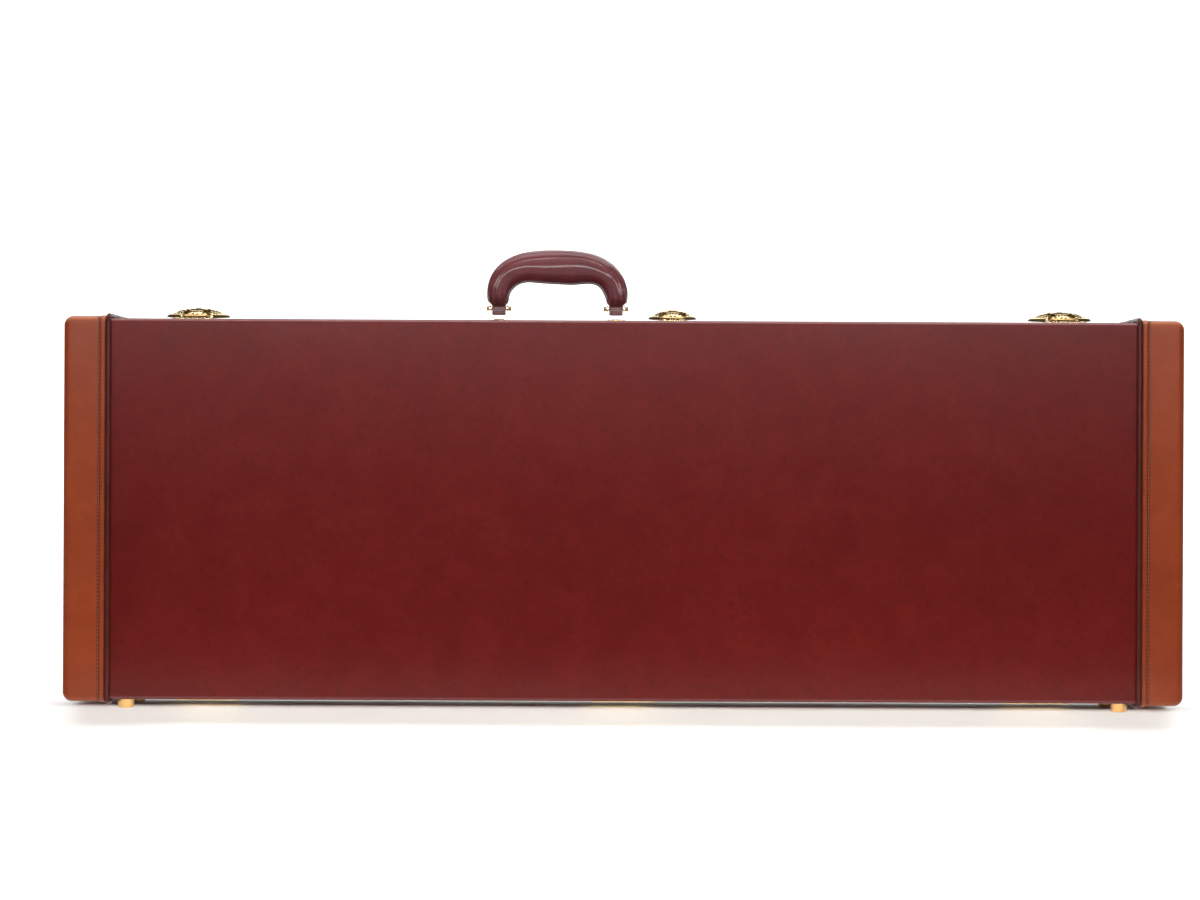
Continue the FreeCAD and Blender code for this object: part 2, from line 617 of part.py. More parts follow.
grip = Part.makeLoft([section(*s) for s in SECTIONS], True, False)
TAB_HALF = 6.6
TAB_T = 6.0
TAB_BOTTOM = 7.5
for sx in (-1, 1):
    xl = HANDLE_X + sx * HANDLE_LEG
    tab = box(xl - TAB_HALF, xl + TAB_HALF, HANDLE_Y - TAB_T / 2,
              HANDLE_Y + TAB_T / 2, T + TAB_BOTTOM, T + 24.0)
    tab = fillet(tab, 1.2, lambda e: along(e, 0) or along(e, 2))
    grip = grip.fuse(tab)
pin_holes = []
for sx in (-1, 1):
    xl = HANDLE_X + sx * HANDLE_LEG
    pin_holes.append(cyl(HANDLE_PIN_R,
                         (xl - 20, HANDLE_Y, T + HANDLE_PIN_Z),
                         (xl + 20, HANDLE_Y, T + HANDLE_PIN_Z)))
grip = grip.cut(Part.makeCompound(pin_holes))
# room for the eyes of the loops beside each tab
for sx in (-1, 1):
    xl = HANDLE_X + sx * HANDLE_LEG
    for s2 in (-1, 1):
        lo, hi = sorted((xl + s2 * (TAB_HALF + 0.15), xl + s2 * 20.0))
        grip = grip.cut(cyl(3.3, (lo, HANDLE_Y, T + HANDLE_PIN_Z),
                            (hi, HANDLE_Y, T + HANDLE_PIN_Z)))
keep("handle_grip", grip)

pins = []
for sx in (-1, 1):
    xl = HANDLE_X + sx * HANDLE_LEG
    z = T + HANDLE_PIN_Z
    p = cyl(HANDLE_PIN_R, (xl - 10.0, HANDLE_Y, z), (xl + 10.0, HANDLE_Y, z))
    for s2 in (-1, 1):
        h = cyl(2.2, (xl + s2 * 9.7, HANDLE_Y, z), (xl + s2 * 12.0, HANDLE_Y, z))
        p = p.fuse(fillet(h, 1.1, lambda e: e.Curve.TypeId == "Part::GeomCircle"
                          and abs(e.Vertexes[0].Point.x - xl) > 11.9))
    pins.append(p)
keep("handle_pins", Part.makeCompound(pins))

# wire loops: a bar in the bracket, two sides, an eye on each end of the pin
loops, brackets, bracket_rivets = [], [], []
for sx in (-1, 1):
    xl = HANDLE_X + sx * HANDLE_LEG
    zb, zp = T + LOOP_Z, T + HANDLE_PIN_Z
    a, b = xl - LOOP_HALF, xl + LOOP_HALF
    r = 2.2
    k = r * (1 - math.sqrt(0.5))
    w = tube_along([
        ((a, HANDLE_Y, zp - 2.2), (a, HANDLE_Y, zb + r)),
        ((a, HANDLE_Y, zb + r), (a + k, HANDLE_Y, zb + k),
         (a + r, HANDLE_Y, zb)),
        ((a + r, HANDLE_Y, zb), (b - r, HANDLE_Y, zb)),
        ((b - r, HANDLE_Y, zb), (b - k, HANDLE_Y, zb + k),
         (b, HANDLE_Y, zb + r)),
        ((b, HANDLE_Y, zb + r), (b, HANDLE_Y, zp - 2.2))], LOOP_R)
    for x in (a, b):
        eye = cyl(2.8, (x - 1.0, HANDLE_Y, zp), (x + 1.0, HANDLE_Y, zp))
        w = w.fuse(eye.cut(cyl(HANDLE_PIN_R + RUN, (x - 2, HANDLE_Y, zp),
                               (x + 2, HANDLE_Y, zp))))
        w = w.cut(cyl(HANDLE_PIN_R + RUN, (x - 2, HANDLE_Y, zp),
                      (x + 2, HANDLE_Y, zp)))
    loops.append(w)
    plate = oval_plate(xl, 13.5, HANDLE_Y - 8, HANDLE_Y + 8, T, T + 0.8, 6.0)
    kn = cyl(1.9, (xl - 4.8, HANDLE_Y, zb), (xl + 4.8, HANDLE_Y, zb))
    kn = kn.fuse(box(xl - 4.8, xl + 4.8, HANDLE_Y - 1.9, HANDLE_Y + 1.9,
                     T + 0.3, zb))
    plate = plate.fuse(kn).cut(cyl(LOOP_R + RUN, (xl - 6, HANDLE_Y, zb),
                                   (xl + 6, HANDLE_Y, zb)))
    for dx in (-9.0, 9.0):
        for dy in (-4.8, 4.8):
            x, y = xl + dx, HANDLE_Y + dy
            plate = plate.cut(cyl(0.9, (x, y, T - 2), (x, y, T + 3)))
            bracket_rivets.append(dome(1.6, 0.8, x, y, T + 0.8, False,
                                       0.9, 0.8))
    brackets.append(plate.removeSplitter())
keep("handle_loops", Part.makeCompound(loops))
keep("handle_brackets", Part.makeCompound(brackets))
keep("bracket_rivets", Part.makeCompound(bracket_rivets))

# ---------------------------------------------------------------------- write
for name, shape in parts.items():
    if not shape.isValid():
        print("not valid:", name)
    shape.exportStep("parts/%s.step" % name)
    bb = shape.BoundBox
    print("%-22s solids %2d  vol %10.1f  x %.1f..%.1f y %.1f..%.1f z %.1f..%.1f"
          % (name, len(shape.Solids), shape.Volume, bb.XMin, bb.XMax,
             bb.YMin, bb.YMax, bb.ZMin, bb.ZMax))
print(len(parts), "parts")
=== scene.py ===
import math

import bmesh
import bpy
import numpy as np
from mathutils import Matrix, Vector


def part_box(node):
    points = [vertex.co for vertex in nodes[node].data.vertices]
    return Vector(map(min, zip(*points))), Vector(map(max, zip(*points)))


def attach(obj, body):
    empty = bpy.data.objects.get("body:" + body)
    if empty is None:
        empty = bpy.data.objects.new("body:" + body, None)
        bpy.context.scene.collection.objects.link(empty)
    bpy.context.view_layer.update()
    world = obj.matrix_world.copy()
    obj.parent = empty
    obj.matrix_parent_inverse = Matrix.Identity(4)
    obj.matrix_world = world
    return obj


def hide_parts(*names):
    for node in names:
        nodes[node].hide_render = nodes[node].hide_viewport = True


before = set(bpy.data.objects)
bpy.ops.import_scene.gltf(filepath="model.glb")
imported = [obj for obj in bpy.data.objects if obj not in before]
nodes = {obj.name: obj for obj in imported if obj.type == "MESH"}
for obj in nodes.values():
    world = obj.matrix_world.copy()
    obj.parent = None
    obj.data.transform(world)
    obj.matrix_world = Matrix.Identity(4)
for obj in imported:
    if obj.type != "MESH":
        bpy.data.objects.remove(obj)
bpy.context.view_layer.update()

sc = bpy.context.scene
sc.view_settings.view_transform = "Standard"
rng = np.random.default_rng(7)

# =====================================================================
# sizes, all read from the frame, in millimetres
# =====================================================================


def mmbox(name):
    a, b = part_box(name)
    return np.array(a) * 1000.0, np.array(b) * 1000.0


lc, hc = mmbox("lid_cover")
lb, hb = mmbox("body_cover")
ll, hl = mmbox("lid_end_cap_right")
HX, YF, LID_Y, Z0, Z1 = hc[0], lc[1], hc[1], lc[2], hc[2]
YB, BODY_Y = hb[1], lb[1]
SPLIT = (LID_Y + BODY_Y) / 2.0
CAP_X, CAP_END = ll[0], hl[0]
LEATHER = CAP_END - HX
T = Z1
EDGE_R = 4.0
CORNER_R = CAP_END - HX + 7.0
RIM = 0.33               # how far a turned edge stands over the plywood rim

# =====================================================================
# small mesh tools
# =====================================================================


def make(name, verts, faces, mat, body, smooth=True, replaces=(),
         attrs=None):
    """A mesh object from points in millimetres."""
    me = bpy.data.meshes.new(name)
    v = np.asarray(verts, float) * 0.001
    me.from_pydata(v.tolist(), [], [list(map(int, f)) for f in faces])
    me.update()
    bm = bmesh.new()
    bm.from_mesh(me)
    bmesh.ops.recalc_face_normals(bm, faces=bm.faces)
    bm.to_mesh(me)
    bm.free()
    me.polygons.foreach_set("use_smooth", [smooth] * len(me.polygons))
    for key, val in (attrs or {}).items():
        a = me.attributes.new(key, "FLOAT", "POINT")
        a.data.foreach_set("value", np.asarray(val, np.float32))
    ob = bpy.data.objects.new(name, me)
    sc.collection.objects.link(ob)
    me.materials.append(mat)
    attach(ob, body)
    if replaces:
        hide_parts(*replaces)
    return ob


def quads(nu, nv, off=0, close_u=False, close_v=False):
    f = []
    for i in range(nu if close_u else nu - 1):
        i2 = (i + 1) % nu
        for j in range(nv if close_v else nv - 1):
            j2 = (j + 1) % nv
            f.append((off + i * nv + j, off + i2 * nv + j,
                      off + i2 * nv + j2, off + i * nv + j2))
    return f


def slab(po, pi):
    """Closed solid between two grids of points (nu, nv, 3)."""
    nu, nv = po.shape[:2]
    n = nu * nv
    v = np.concatenate([po.reshape(-1, 3), pi.reshape(-1, 3)])
    f = quads(nu, nv) + [q[::-1] for q in quads(nu, nv, n)]

    def side(idx):
        for a, b in zip(idx, idx[1:]):
            f.append((a, a + n, b + n, b))
    side([j for j in range(nv)])
    side([(nu - 1) * nv + j for j in range(nv)][::-1])
    side([i * nv for i in range(nu)][::-1])
    side([i * nv + nv - 1 for i in range(nu)])
    return v, f


def merge(ob, dist=0.00002):
    bm = bmesh.new()
    bm.from_mesh(ob.data)
    bmesh.ops.remove_doubles(bm, verts=bm.verts, dist=dist)
    bmesh.ops.dissolve_degenerate(bm, dist=dist * 0.5, edges=bm.edges)
    bmesh.ops.recalc_face_normals(bm, faces=bm.faces)
    bm.to_mesh(ob.data)
    bm.free()
    ob.data.polygons.foreach_set("use_smooth", [True] * len(ob.data.polygons))
    return ob


def loops_solid(loops):
    """Closed solid through loops of points, each (n, 3); the ends are capped."""
    n = len(loops[0])
    v = np.concatenate(loops)
    f = []
    for k in range(len(loops) - 1):
        a, b = k * n, (k + 1) * n
        for i in range(n):
            j = (i + 1) % n
            f.append((a + i, a + j, b + j, b + i))
    f.append(tuple(range(n))[::-1])
    e = (len(loops) - 1) * n
    f.append(tuple(range(e, e + n)))
    return v, f


def sweep(path, frames, radii, nseg=14, ends=True):
    """Round tube: path (n,3), frames (n,2,3) giving the two cross axes."""
    t = np.linspace(0, 2 * math.pi, nseg, endpoint=False)
    loops = []
    for p, fr, r in zip(path, frames, radii):
        loops.append(p + r * (np.outer(np.cos(t), fr[0])
                              + np.outer(np.sin(t), fr[1])))
    return loops_solid(loops)


def smooth_noise(shape, scale, seed):
    """Smooth values in -1..1 over a grid, from a few seeded waves."""
    r = np.random.default_rng(seed)
    a, b = shape
    out = np.zeros(a.shape)
    for k in range(9):
        th = r.uniform(0, 2 * math.pi)
        fq = r.uniform(0.5, 1.6) / scale
        ph = r.uniform(0, 2 * math.pi)
        out += np.sin(2 * math.pi * fq * (a * math.cos(th)
                                          + b * math.sin(th)) + ph)
    return out / 4.0


def catmull(p, t):
    """Smooth curve through the rows of p at parameters t (0..len-1)."""
    p = np.asarray(p, float)
    n = len(p)
    out = []
    for x in t:
        i = min(int(x), n - 2)
        f = x - i
        p0, p1, p2, p3 = p[max(i - 1, 0)], p[i], p[i + 1], p[min(i + 2, n - 1)]
        out.append(0.5 * ((2 * p1) + (p2 - p0) * f
                          + (2 * p0 - 5 * p1 + 4 * p2 - p3) * f * f
                          + (3 * p1 - p0 - 3 * p2 + p3) * f ** 3))
    return np.array(out)


# =====================================================================
# materials
# =====================================================================


class Mat:
    def __init__(self, name):
        self.m = bpy.data.materials.new(name)
        self.m.use_nodes = True
        self.nt = self.m.node_tree
        self.b = self.nt.nodes["Principled BSDF"]

    def n(self, kind, **kw):
        nd = self.nt.nodes.new(kind)
        for k, v in kw.items():
            if k in ("op", "operation"):
                nd.operation = v
            elif hasattr(nd, k):
                setattr(nd, k, v)
            else:
                nd.inputs[k].default_value = v
        return nd

    def link(self, a, b):
        self.nt.links.new(a, b)

    def coord(self):
        if not hasattr(self, "_c"):
            self._c = self.n("ShaderNodeTexCoord").outputs["Object"]
        return self._c

    def noise(self, scale, detail=3.0, rough=0.5, dist=0.0, vec=None):
        nd = self.n("ShaderNodeTexNoise")
        nd.inputs["Scale"].default_value = scale
        nd.inputs["Detail"].default_value = detail
        nd.inputs["Roughness"].default_value = rough
        nd.inputs["Distortion"].default_value = dist
        self.link(vec or self.coord(), nd.inputs["Vector"])
        return nd.outputs["Fac"]

    def vor(self, scale, feature="F1", out="Distance", rand=1.0, vec=None):
        nd = self.n("ShaderNodeTexVoronoi")
        nd.feature = feature
        nd.inputs["Scale"].default_value = scale
        nd.inputs["Randomness"].default_value = rand
        self.link(vec or self.coord(), nd.inputs["Vector"])
        return nd.outputs[out]

    def ramp(self, fac, stops):
        nd = self.n("ShaderNodeValToRGB")
        cr = nd.color_ramp
        while len(cr.elements) < len(stops):
            cr.elements.new(0.5)
        for e, (p, c) in zip(cr.elements, stops):
            e.position = p
            e.color = (*c, 1.0) if len(c) == 3 else c
        self.link(fac, nd.inputs["Fac"])
        return nd.outputs["Color"]

    def maths(self, op, a, b=None, clamp=False):
        nd = self.n("ShaderNodeMath")
        nd.operation = op
        nd.use_clamp = clamp
        for i, x in enumerate((a, b)):
            if x is None:
                continue
            if isinstance(x, (int, float)):
                nd.inputs[i].default_value = x
            else:
                self.link(x, nd.inputs[i])
        return nd.outputs[0]

    def mix(self, fac, a, b, mode="MIX"):
        nd = self.n("ShaderNodeMix")
        nd.data_type = "RGBA"
        nd.blend_type = mode
        for key, x in (("Factor", fac), ("A", a), ("B", b)):
            s = [i for i in nd.inputs if i.name == key and (
                i.type == ("VALUE" if key == "Factor" else "RGBA"))][0]
            if isinstance(x, (int, float)):
                s.default_value = x
            elif isinstance(x, tuple):
                s.default_value = (*x, 1.0)
            else:
                self.link(x, s)
        return [o for o in nd.outputs if o.type == "RGBA"][0]

    def attr(self, name):
        nd = self.n("ShaderNodeAttribute")
        nd.attribute_name = name
        return nd.outputs["Fac"]

    def bump(self, height, strength=0.5, dist=0.0002, normal=None):
        nd = self.n("ShaderNodeBump")
        nd.inputs["Strength"].default_value = strength
        nd.inputs["Distance"].default_value = dist
        self.link(height, nd.inputs["Height"])
        if normal is not None:
            self.link(normal, nd.inputs["Normal"])
        return nd.outputs["Normal"]

    def set(self, **kw):
        for k, v in kw.items():
            s = self.b.inputs[k.replace("_", " ")]
            if isinstance(v, (int, float)):
                s.default_value = v
            elif isinstance(v, tuple):
                s.default_value = (*v, 1.0) if len(v) == 3 else v
            else:
                self.link(v, s)
        return self


def grain(m, size, strength, fine=0.35, dist=0.00018):
    """Pebbled leather grain: cells of that size in millimetres, and pores."""
    s = 1000.0 / size
    w = m.noise(s * 0.35, 2.0, 0.5)
    vec = m.n("ShaderNodeVectorMath")
    vec.operation = "MULTIPLY_ADD"
    comb = m.n("ShaderNodeCombineXYZ")
    for i in range(3):
        m.link(w, comb.inputs[i])
    m.link(comb.outputs[0], vec.inputs[0])
    vec.inputs[1].default_value = (size * 0.0006,) * 3
    m.link(m.coord(), vec.inputs[2])
    d = m.vor(s, vec=vec.outputs[0])
    cells = m.maths("SMOOTH_MIN", d, 0.55)
    pores = m.noise(s * 2.6, 3.0, 0.6)
    h = m.maths("ADD", m.maths("MULTIPLY", cells, -1.0),
                m.maths("MULTIPLY", pores, fine))
    return h, m.bump(h, strength, dist)


def leatherette():
    m = Mat("burgundy_leatherette")
    big = m.noise(7.0, 3.0, 0.55, 0.6)
    mid = m.noise(34.0, 4.0, 0.6, 0.4)
    small = m.noise(210.0, 3.0, 0.6)
    col = m.ramp(big, [(0.30, (0.065, 0.0022, 0.0014)),
                       (0.52, (0.071, 0.0026, 0.0017)),
                       (0.72, (0.078, 0.0032, 0.0020))])
    col = m.mix(m.maths("MULTIPLY", m.maths("SUBTRACT", mid, 0.42, True), 1.3, True),
                col, (0.098, 0.0046, 0.0028))
    col = m.mix(m.maths("MULTIPLY", m.maths("SUBTRACT", small, 0.48, True), 1.9, True),
                col, (0.038, 0.0015, 0.0012))
    # painted highlight along the cover's rounded edges (the edge attribute), broken up by noise
    painted_edge_highlight = m.maths("MULTIPLY", m.attr("edge"),
                  m.maths("ADD", 0.55, m.maths("MULTIPLY", m.noise(95.0, 4.0, 0.7), 0.8)), True)
    col = m.mix(painted_edge_highlight, col, (0.215, 0.105, 0.105))
    h, nrm = grain(m, 0.95, 0.42)
    wav = m.bump(m.noise(4.5, 2.0, 0.5), 0.25, 0.0012)
    d2 = nrm.node
    m.link(wav, d2.inputs["Normal"])
    rough = m.maths("ADD", 0.26, m.maths("MULTIPLY", mid, 0.13))
    m.set(Base_Color=col, Roughness=rough, Normal=nrm)
    m.b.inputs["Specular IOR Level"].default_value = 0.12
    return m.m


def tan_leather():
    m = Mat("tan_leather")
    big = m.noise(11.0, 3.0, 0.55, 0.5)
    mid = m.noise(60.0, 4.0, 0.62, 0.3)
    fibre = m.noise(330.0, 3.0, 0.6)
    col = m.ramp(big, [(0.30, (0.142, 0.0200, 0.0042)),
                       (0.55, (0.162, 0.0245, 0.0052)),
                       (0.75, (0.182, 0.0300, 0.0064))])
    col = m.mix(m.maths("MULTIPLY", m.maths("SUBTRACT", mid, 0.45, True), 1.5, True),
                col, (0.208, 0.0385, 0.0090))
    col = m.mix(m.maths("MULTIPLY", m.maths("SUBTRACT", fibre, 0.52, True), 1.2, True),
                col, (0.108, 0.0140, 0.0035))
    # painted highlight over the caps' rounded edges (the edge attribute), broken up by noise
    painted_edge_highlight = m.maths("MULTIPLY", m.attr("edge"),
                  m.maths("ADD", 0.45, m.maths("MULTIPLY", m.noise(70.0, 4.0, 0.7), 0.7)), True)
    col = m.mix(painted_edge_highlight, col, (0.345, 0.122, 0.062))
    # darker where burnished and along the stitch channel; paler where the value is negative, a painted
    # highlight over the rounded fold
    bn = m.attr("burnish_and_painted_light")
    col = m.mix(m.maths("MULTIPLY", bn, 1.0, True), col, (0.070, 0.0118, 0.0036))
    col = m.mix(m.maths("MULTIPLY", bn, -1.0, True), col, (0.300, 0.1350, 0.0900))
    h, nrm = grain(m, 0.6, 0.22, 0.5, 0.00012)
    rough = m.maths("ADD", 0.27, m.maths("MULTIPLY", mid, 0.15))
    m.set(Base_Color=col, Roughness=rough, Normal=nrm)
    m.b.inputs["Specular IOR Level"].default_value = 0.16
    return m.m


def dark_leather(name, base, light, rough=0.34, size=0.5, strength=0.22,
                 coat=0.2, spec=0.22):
    m = Mat(name)
    big = m.noise(40.0, 3.0, 0.6, 0.4)
    col = m.ramp(big, [(0.34, base), (0.70, light)])
    fine = m.noise(420.0, 3.0, 0.6)
    col = m.mix(m.maths("MULTIPLY", m.maths("SUBTRACT", fine, 0.5, True), 0.8, True),
                col, tuple(c * 0.5 for c in base))
    # darker where the attribute is set: burnished edges and seams, and painted shade in the grip's
    # pleats
    col = m.mix(m.attr("burnish_and_painted_light"), col, tuple(c * 0.35 for c in base))
    h, nrm = grain(m, size, strength, 0.5, 0.00010)
    m.set(Base_Color=col, Normal=nrm,
          Roughness=m.maths("ADD", rough, m.maths("MULTIPLY", big, 0.14)))
    m.b.inputs["Specular IOR Level"].default_value = spec
    m.b.inputs["Coat Weight"].default_value = coat
    m.b.inputs["Coat Roughness"].default_value = 0.11
    return m.m


def brass(name="brass", patina=True, base=(0.80, 0.56, 0.22), rough=0.20):
    m = Mat(name)
    big = m.noise(60.0, 3.0, 0.6, 0.3)
    fine = m.noise(900.0, 2.0, 0.5)
    col = m.ramp(big, [(0.32, tuple(c * 0.88 for c in base)),
                       (0.68, tuple(min(c * 1.08, 1) for c in base))])
    if patina:
        low = m.attr("relief")
        k = m.maths("SUBTRACT", 0.74, low, True)
        k = m.maths("MULTIPLY", k, 2.6, True)
        col = m.mix(k, col, (0.026, 0.013, 0.006))
        r = m.maths("ADD", m.maths("MULTIPLY", k, 0.35), rough)
    else:
        k = m.noise(28.0, 4.0, 0.65, 0.8)
        k = m.maths("MULTIPLY", m.maths("SUBTRACT", k, 0.56, True), 2.2, True)
        col = m.mix(k, col, (0.34, 0.20, 0.07))
        r = m.maths("ADD", m.maths("MULTIPLY", k, 0.35), rough)
    r = m.maths("ADD", r, m.maths("MULTIPLY", fine, 0.06))
    m.set(Base_Color=col, Metallic=1.0, Roughness=r,
          Normal=m.bump(fine, 0.10, 0.00003))
    return m.m


def plush(name="plush", base=(0.36, 0.175, 0.045)):
    m = Mat(name)
    big = m.noise(18.0, 3.0, 0.6, 0.8)
    tuft = m.noise(1100.0, 2.0, 0.7)
    mid = m.noise(170.0, 3.0, 0.6)
    col = m.ramp(big, [(0.30, tuple(c * 0.70 for c in base)),
                       (0.70, tuple(c * 1.15 for c in base))])
    col = m.mix(m.maths("MULTIPLY", tuft, 0.75), col, tuple(c * 0.35 for c in base))
    col = m.mix(m.maths("MULTIPLY", m.maths("SUBTRACT", mid, 0.45, True), 1.3, True),
                col, tuple(min(c * 1.5, 1) for c in base))
    hh = m.maths("ADD", tuft, m.maths("MULTIPLY", mid, 1.6))
    m.set(Base_Color=col, Roughness=0.95, Normal=m.bump(hh, 0.9, 0.0008))
    m.b.inputs["Specular IOR Level"].default_value = 0.15
    m.b.inputs["Sheen Weight"].default_value = 0.55
    m.b.inputs["Sheen Roughness"].default_value = 0.45
    m.b.inputs["Sheen Tint"].default_value = (1.0, 0.82, 0.55, 1.0)
    return m.m


def plywood():
    m = Mat("plywood")
    mp = m.n("ShaderNodeMapping")
    mp.inputs["Scale"].default_value = (6.0, 130.0, 130.0)
    m.link(m.coord(), mp.inputs["Vector"])
    g = m.noise(1.0, 5.0, 0.65, 1.2, vec=mp.outputs[0])
    col = m.ramp(g, [(0.28, (0.20, 0.105, 0.042)), (0.5, (0.34, 0.20, 0.09)),
                     (0.72, (0.45, 0.29, 0.14))])
    m.set(Base_Color=col, Roughness=0.6, Normal=m.bump(g, 0.3, 0.0003))
    return m.m


def thread(name, base):
    m = Mat(name)
    w = m.noise(2600.0, 2.0, 0.5)
    col = m.ramp(w, [(0.35, tuple(c * 0.55 for c in base)), (0.68, base)])
    m.set(Base_Color=col, Roughness=0.7, Normal=m.bump(w, 0.5, 0.00006))
    m.b.inputs["Sheen Weight"].default_value = 0.04
    return m.m


M_COVER = leatherette()
M_TAN = tan_leather()
M_WELT = dark_leather("welt_leather", (0.034, 0.0048, 0.0042),
                      (0.050, 0.0072, 0.0062), 0.30, 0.5, 0.2, 0.03, 0.15)
M_GRIP = dark_leather("handle_leather", (0.080, 0.0175, 0.0210),
                      (0.112, 0.0250, 0.0300), 0.28, 0.45, 0.16, 0.34, 0.12)
M_LIP = dark_leather("rim_leatherette", (0.046, 0.0050, 0.0040),
                     (0.066, 0.0075, 0.0060), 0.40, 0.7, 0.2, 0.03)
M_BRASS = brass("brass_antique", True, (0.86, 0.66, 0.36), 0.20)
M_BRASSP = brass("brass_plain", False, (0.82, 0.58, 0.28), 0.22)
M_WIRE = brass("brass_wire", False, (0.88, 0.76, 0.52), 0.18)
M_BAIL = brass("brass_bail", False, (0.46, 0.30, 0.12), 0.30)
M_FOOT = brass("brass_feet", False, (0.66, 0.39, 0.15), 0.27)
M_PIN = brass("brass_dark_pins", False, (0.26, 0.155, 0.075), 0.36)
M_PLUSH = plush()
M_PLUSH2 = plush("plush_pads", (0.40, 0.20, 0.055))
M_PLY = plywood()
M_THREAD = thread("tan_thread", (0.25, 0.066, 0.022))
M_THREAD_D = thread("dark_thread", (0.10, 0.020, 0.016))

# =====================================================================
# covers, end caps and welts: they share one section across the case
# =====================================================================


def arc_pts(c, r, a0, a1, n):
    t = np.radians(np.linspace(a0, a1, n))
    return np.stack([c[0] + r * np.cos(t), c[1] + r * np.sin(t)], 1)


def section(lid, h, inset_f=0.0, inset_z=0.0, turn=7.0, nw=7, nf=90, na=12):
    """Open C-shaped section of one half in (y, z), from the top rim round the
    face to the bottom rim, h above the covered surface. Both rims are turned
    over the plywood edge. Always the same number of points."""
    s = 1.0 if lid else -1.0                  # towards the split, from the face
    yr = (LID_Y + RIM) if lid else (BODY_Y - RIM)
    yf = (YF if lid else YB) - s * h + s * inset_f
    zt, zb = Z1 + h - inset_z, Z0 - h + inset_z
    r = max(EDGE_R + h - inset_f, 0.8)
    q = 0.9                                    # rounding of the rim edge
    pts = []

    def line(a, b, n):
        t = np.linspace(0, 1, n + 1)[:-1, None]
        pts.append(np.array(a) * (1 - t) + np.array(b) * t)

    def arc(c, rr, a0, a1, n):
        pts.append(arc_pts(c, rr, a0, a1, n + 1)[:-1])

    up = (0.0, 90.0) if lid else (180.0, 90.0)
    line((yr, zt - turn), (yr, zt - q), 4)
    arc((yr - s * q, zt - q), q, up[0], up[1], 4)
    line((yr - s * q, zt), (yf + s * r, zt), nw)
    out = 180.0 if lid else 0.0
    arc((yf + s * r, zt - r), r, 90.0, out, na)
    line((yf, zt - r), (yf, zb + r), nf)
    arc((yf + s * r, zb + r), r, out if lid else 0.0, 270.0 if lid else -90.0, na)
    line((yf + s * r, zb), (yr - s * q, zb), nw)
    arc((yr - s * q, zb + q), q, 270.0 if lid else -90.0,
        360.0 if lid else -180.0, 4)
    line((yr, zb + q), (yr, zb + turn), 4)
    pts.append(np.array([[yr, zb + turn]]))
    return np.concatenate(pts)


def cover(lid):
    name = "lid" if lid else "body"
    # the shell's corners are rounded under the end caps
    R, r = CORNER_R - LEATHER, EDGE_R
    turn_in = []
    for ph in np.radians(np.linspace(0, 78, 7)):
        x = HX - R + R * math.sin(ph)
        fx = x - (HX - r)
        turn_in.append((x, r - math.sqrt(max(r * r - fx * fx, 0.0)) if fx > 0 else 0.0,
                        R * (1 - math.cos(ph))))
    right = [(x, 0.0, 0.0) for x in np.linspace(CAP_X, HX - R, 5)[:-1]] + turn_in
    ring = [(-x, a, b) for x, a, b in right[::-1]] \
        + [(x, 0.0, 0.0) for x in np.linspace(-CAP_X, CAP_X, 124)[1:-1]] + right
    xs = np.array([q[0] for q in ring])
    so, si = section(lid, 0.0), section(lid, -0.9, turn=6.1)
    po = np.zeros((len(xs), len(so), 3))
    pi = np.zeros_like(po)
    for k, (x, a, b) in enumerate(ring):
        po[k, :, 0] = pi[k, :, 0] = x
        po[k, :, 1:] = so if b == 0 else section(lid, 0.0, a, b)
        pi[k, :, 1:] = si if b == 0 else section(lid, -0.9, a, b, turn=6.1)
    # the glued cover isn't dead flat over the panel
    face = (np.abs(po[:, :, 1] - (YF if lid else YB)) < 0.01) \
        & (np.abs(po[:, :, 0]) < CAP_X + 10.0)
    w = smooth_noise((po[:, :, 0], po[:, :, 2]), 170.0, 11 + lid) * 0.16 \
        + smooth_noise((po[:, :, 0], po[:, :, 2]), 46.0, 21 + lid) * 0.05
    ends = np.clip((po[:, :, 2] - Z0 - EDGE_R) / 12.0, 0, 1) \
        * np.clip((Z1 - EDGE_R - po[:, :, 2]) / 12.0, 0, 1)
    po[:, :, 1] += np.where(face, w * ends, 0.0) * (-1 if lid else 1)
    v, f = slab(po, pi)
    # painted highlight along the turned edges, stronger at the top than below
    up = np.degrees(np.arcsin(np.clip((so[:, 1] - (Z1 - EDGE_R)) / EDGE_R, 0, 1)))
    dn = np.degrees(np.arcsin(np.clip(((Z0 + EDGE_R) - so[:, 1]) / EDGE_R, 0, 1)))
    near = np.abs(so[:, 0] - (YF if lid else YB)) < EDGE_R
    e = np.where(near & (up > 0), np.exp(-((up - 40.0) / 15.0) ** 2), 0.0) \
        + 0.35 * np.where(near & (dn > 0), np.exp(-((dn - 30.0) / 16.0) ** 2), 0.0)
    e = np.repeat(e[None], len(xs), 0).reshape(-1)
    return make(name + "_leatherette", v, f, M_COVER, name if lid else "case_body",
                replaces=[name + "_cover"],
                attrs={"edge": np.concatenate([e, np.zeros(len(e))])})


cover(True)
cover(False)

# profile of an end cap: distance from its inner edge, height over the cover,
# and a tone: positive is darker (burnished cut edge, stitch groove), negative is paler, a painted
# highlight over the rounded fold
FOLD = [(0.0, 0.03, 0.6), (0.0, 0.8, 0.2), (0.10, 1.5, -0.6), (0.45, 2.1, -1.0),
        (1.0, 2.5, -0.9), (1.55, 2.64, -0.1), (3.0, 2.72, 0.0), (4.1, 2.66, 0.0),
        (4.8, 2.50, 0.35), (5.35, 2.20, 0.8), (5.85, 1.78, 1.0),
        (6.3, 1.62, 1.0), (6.75, 1.75, 1.0), (7.25, 2.02, 0.75),
        (7.9, 2.16, 0.15), (9.0, 2.20, 0.0), (12.0, 2.12, 0.0),
        (17.0, 2.02, 0.0), (22.0, 2.0, 0.0), (27.0, 2.0, 0.0)]
STITCH_D, STITCH_H = 6.3, 1.62


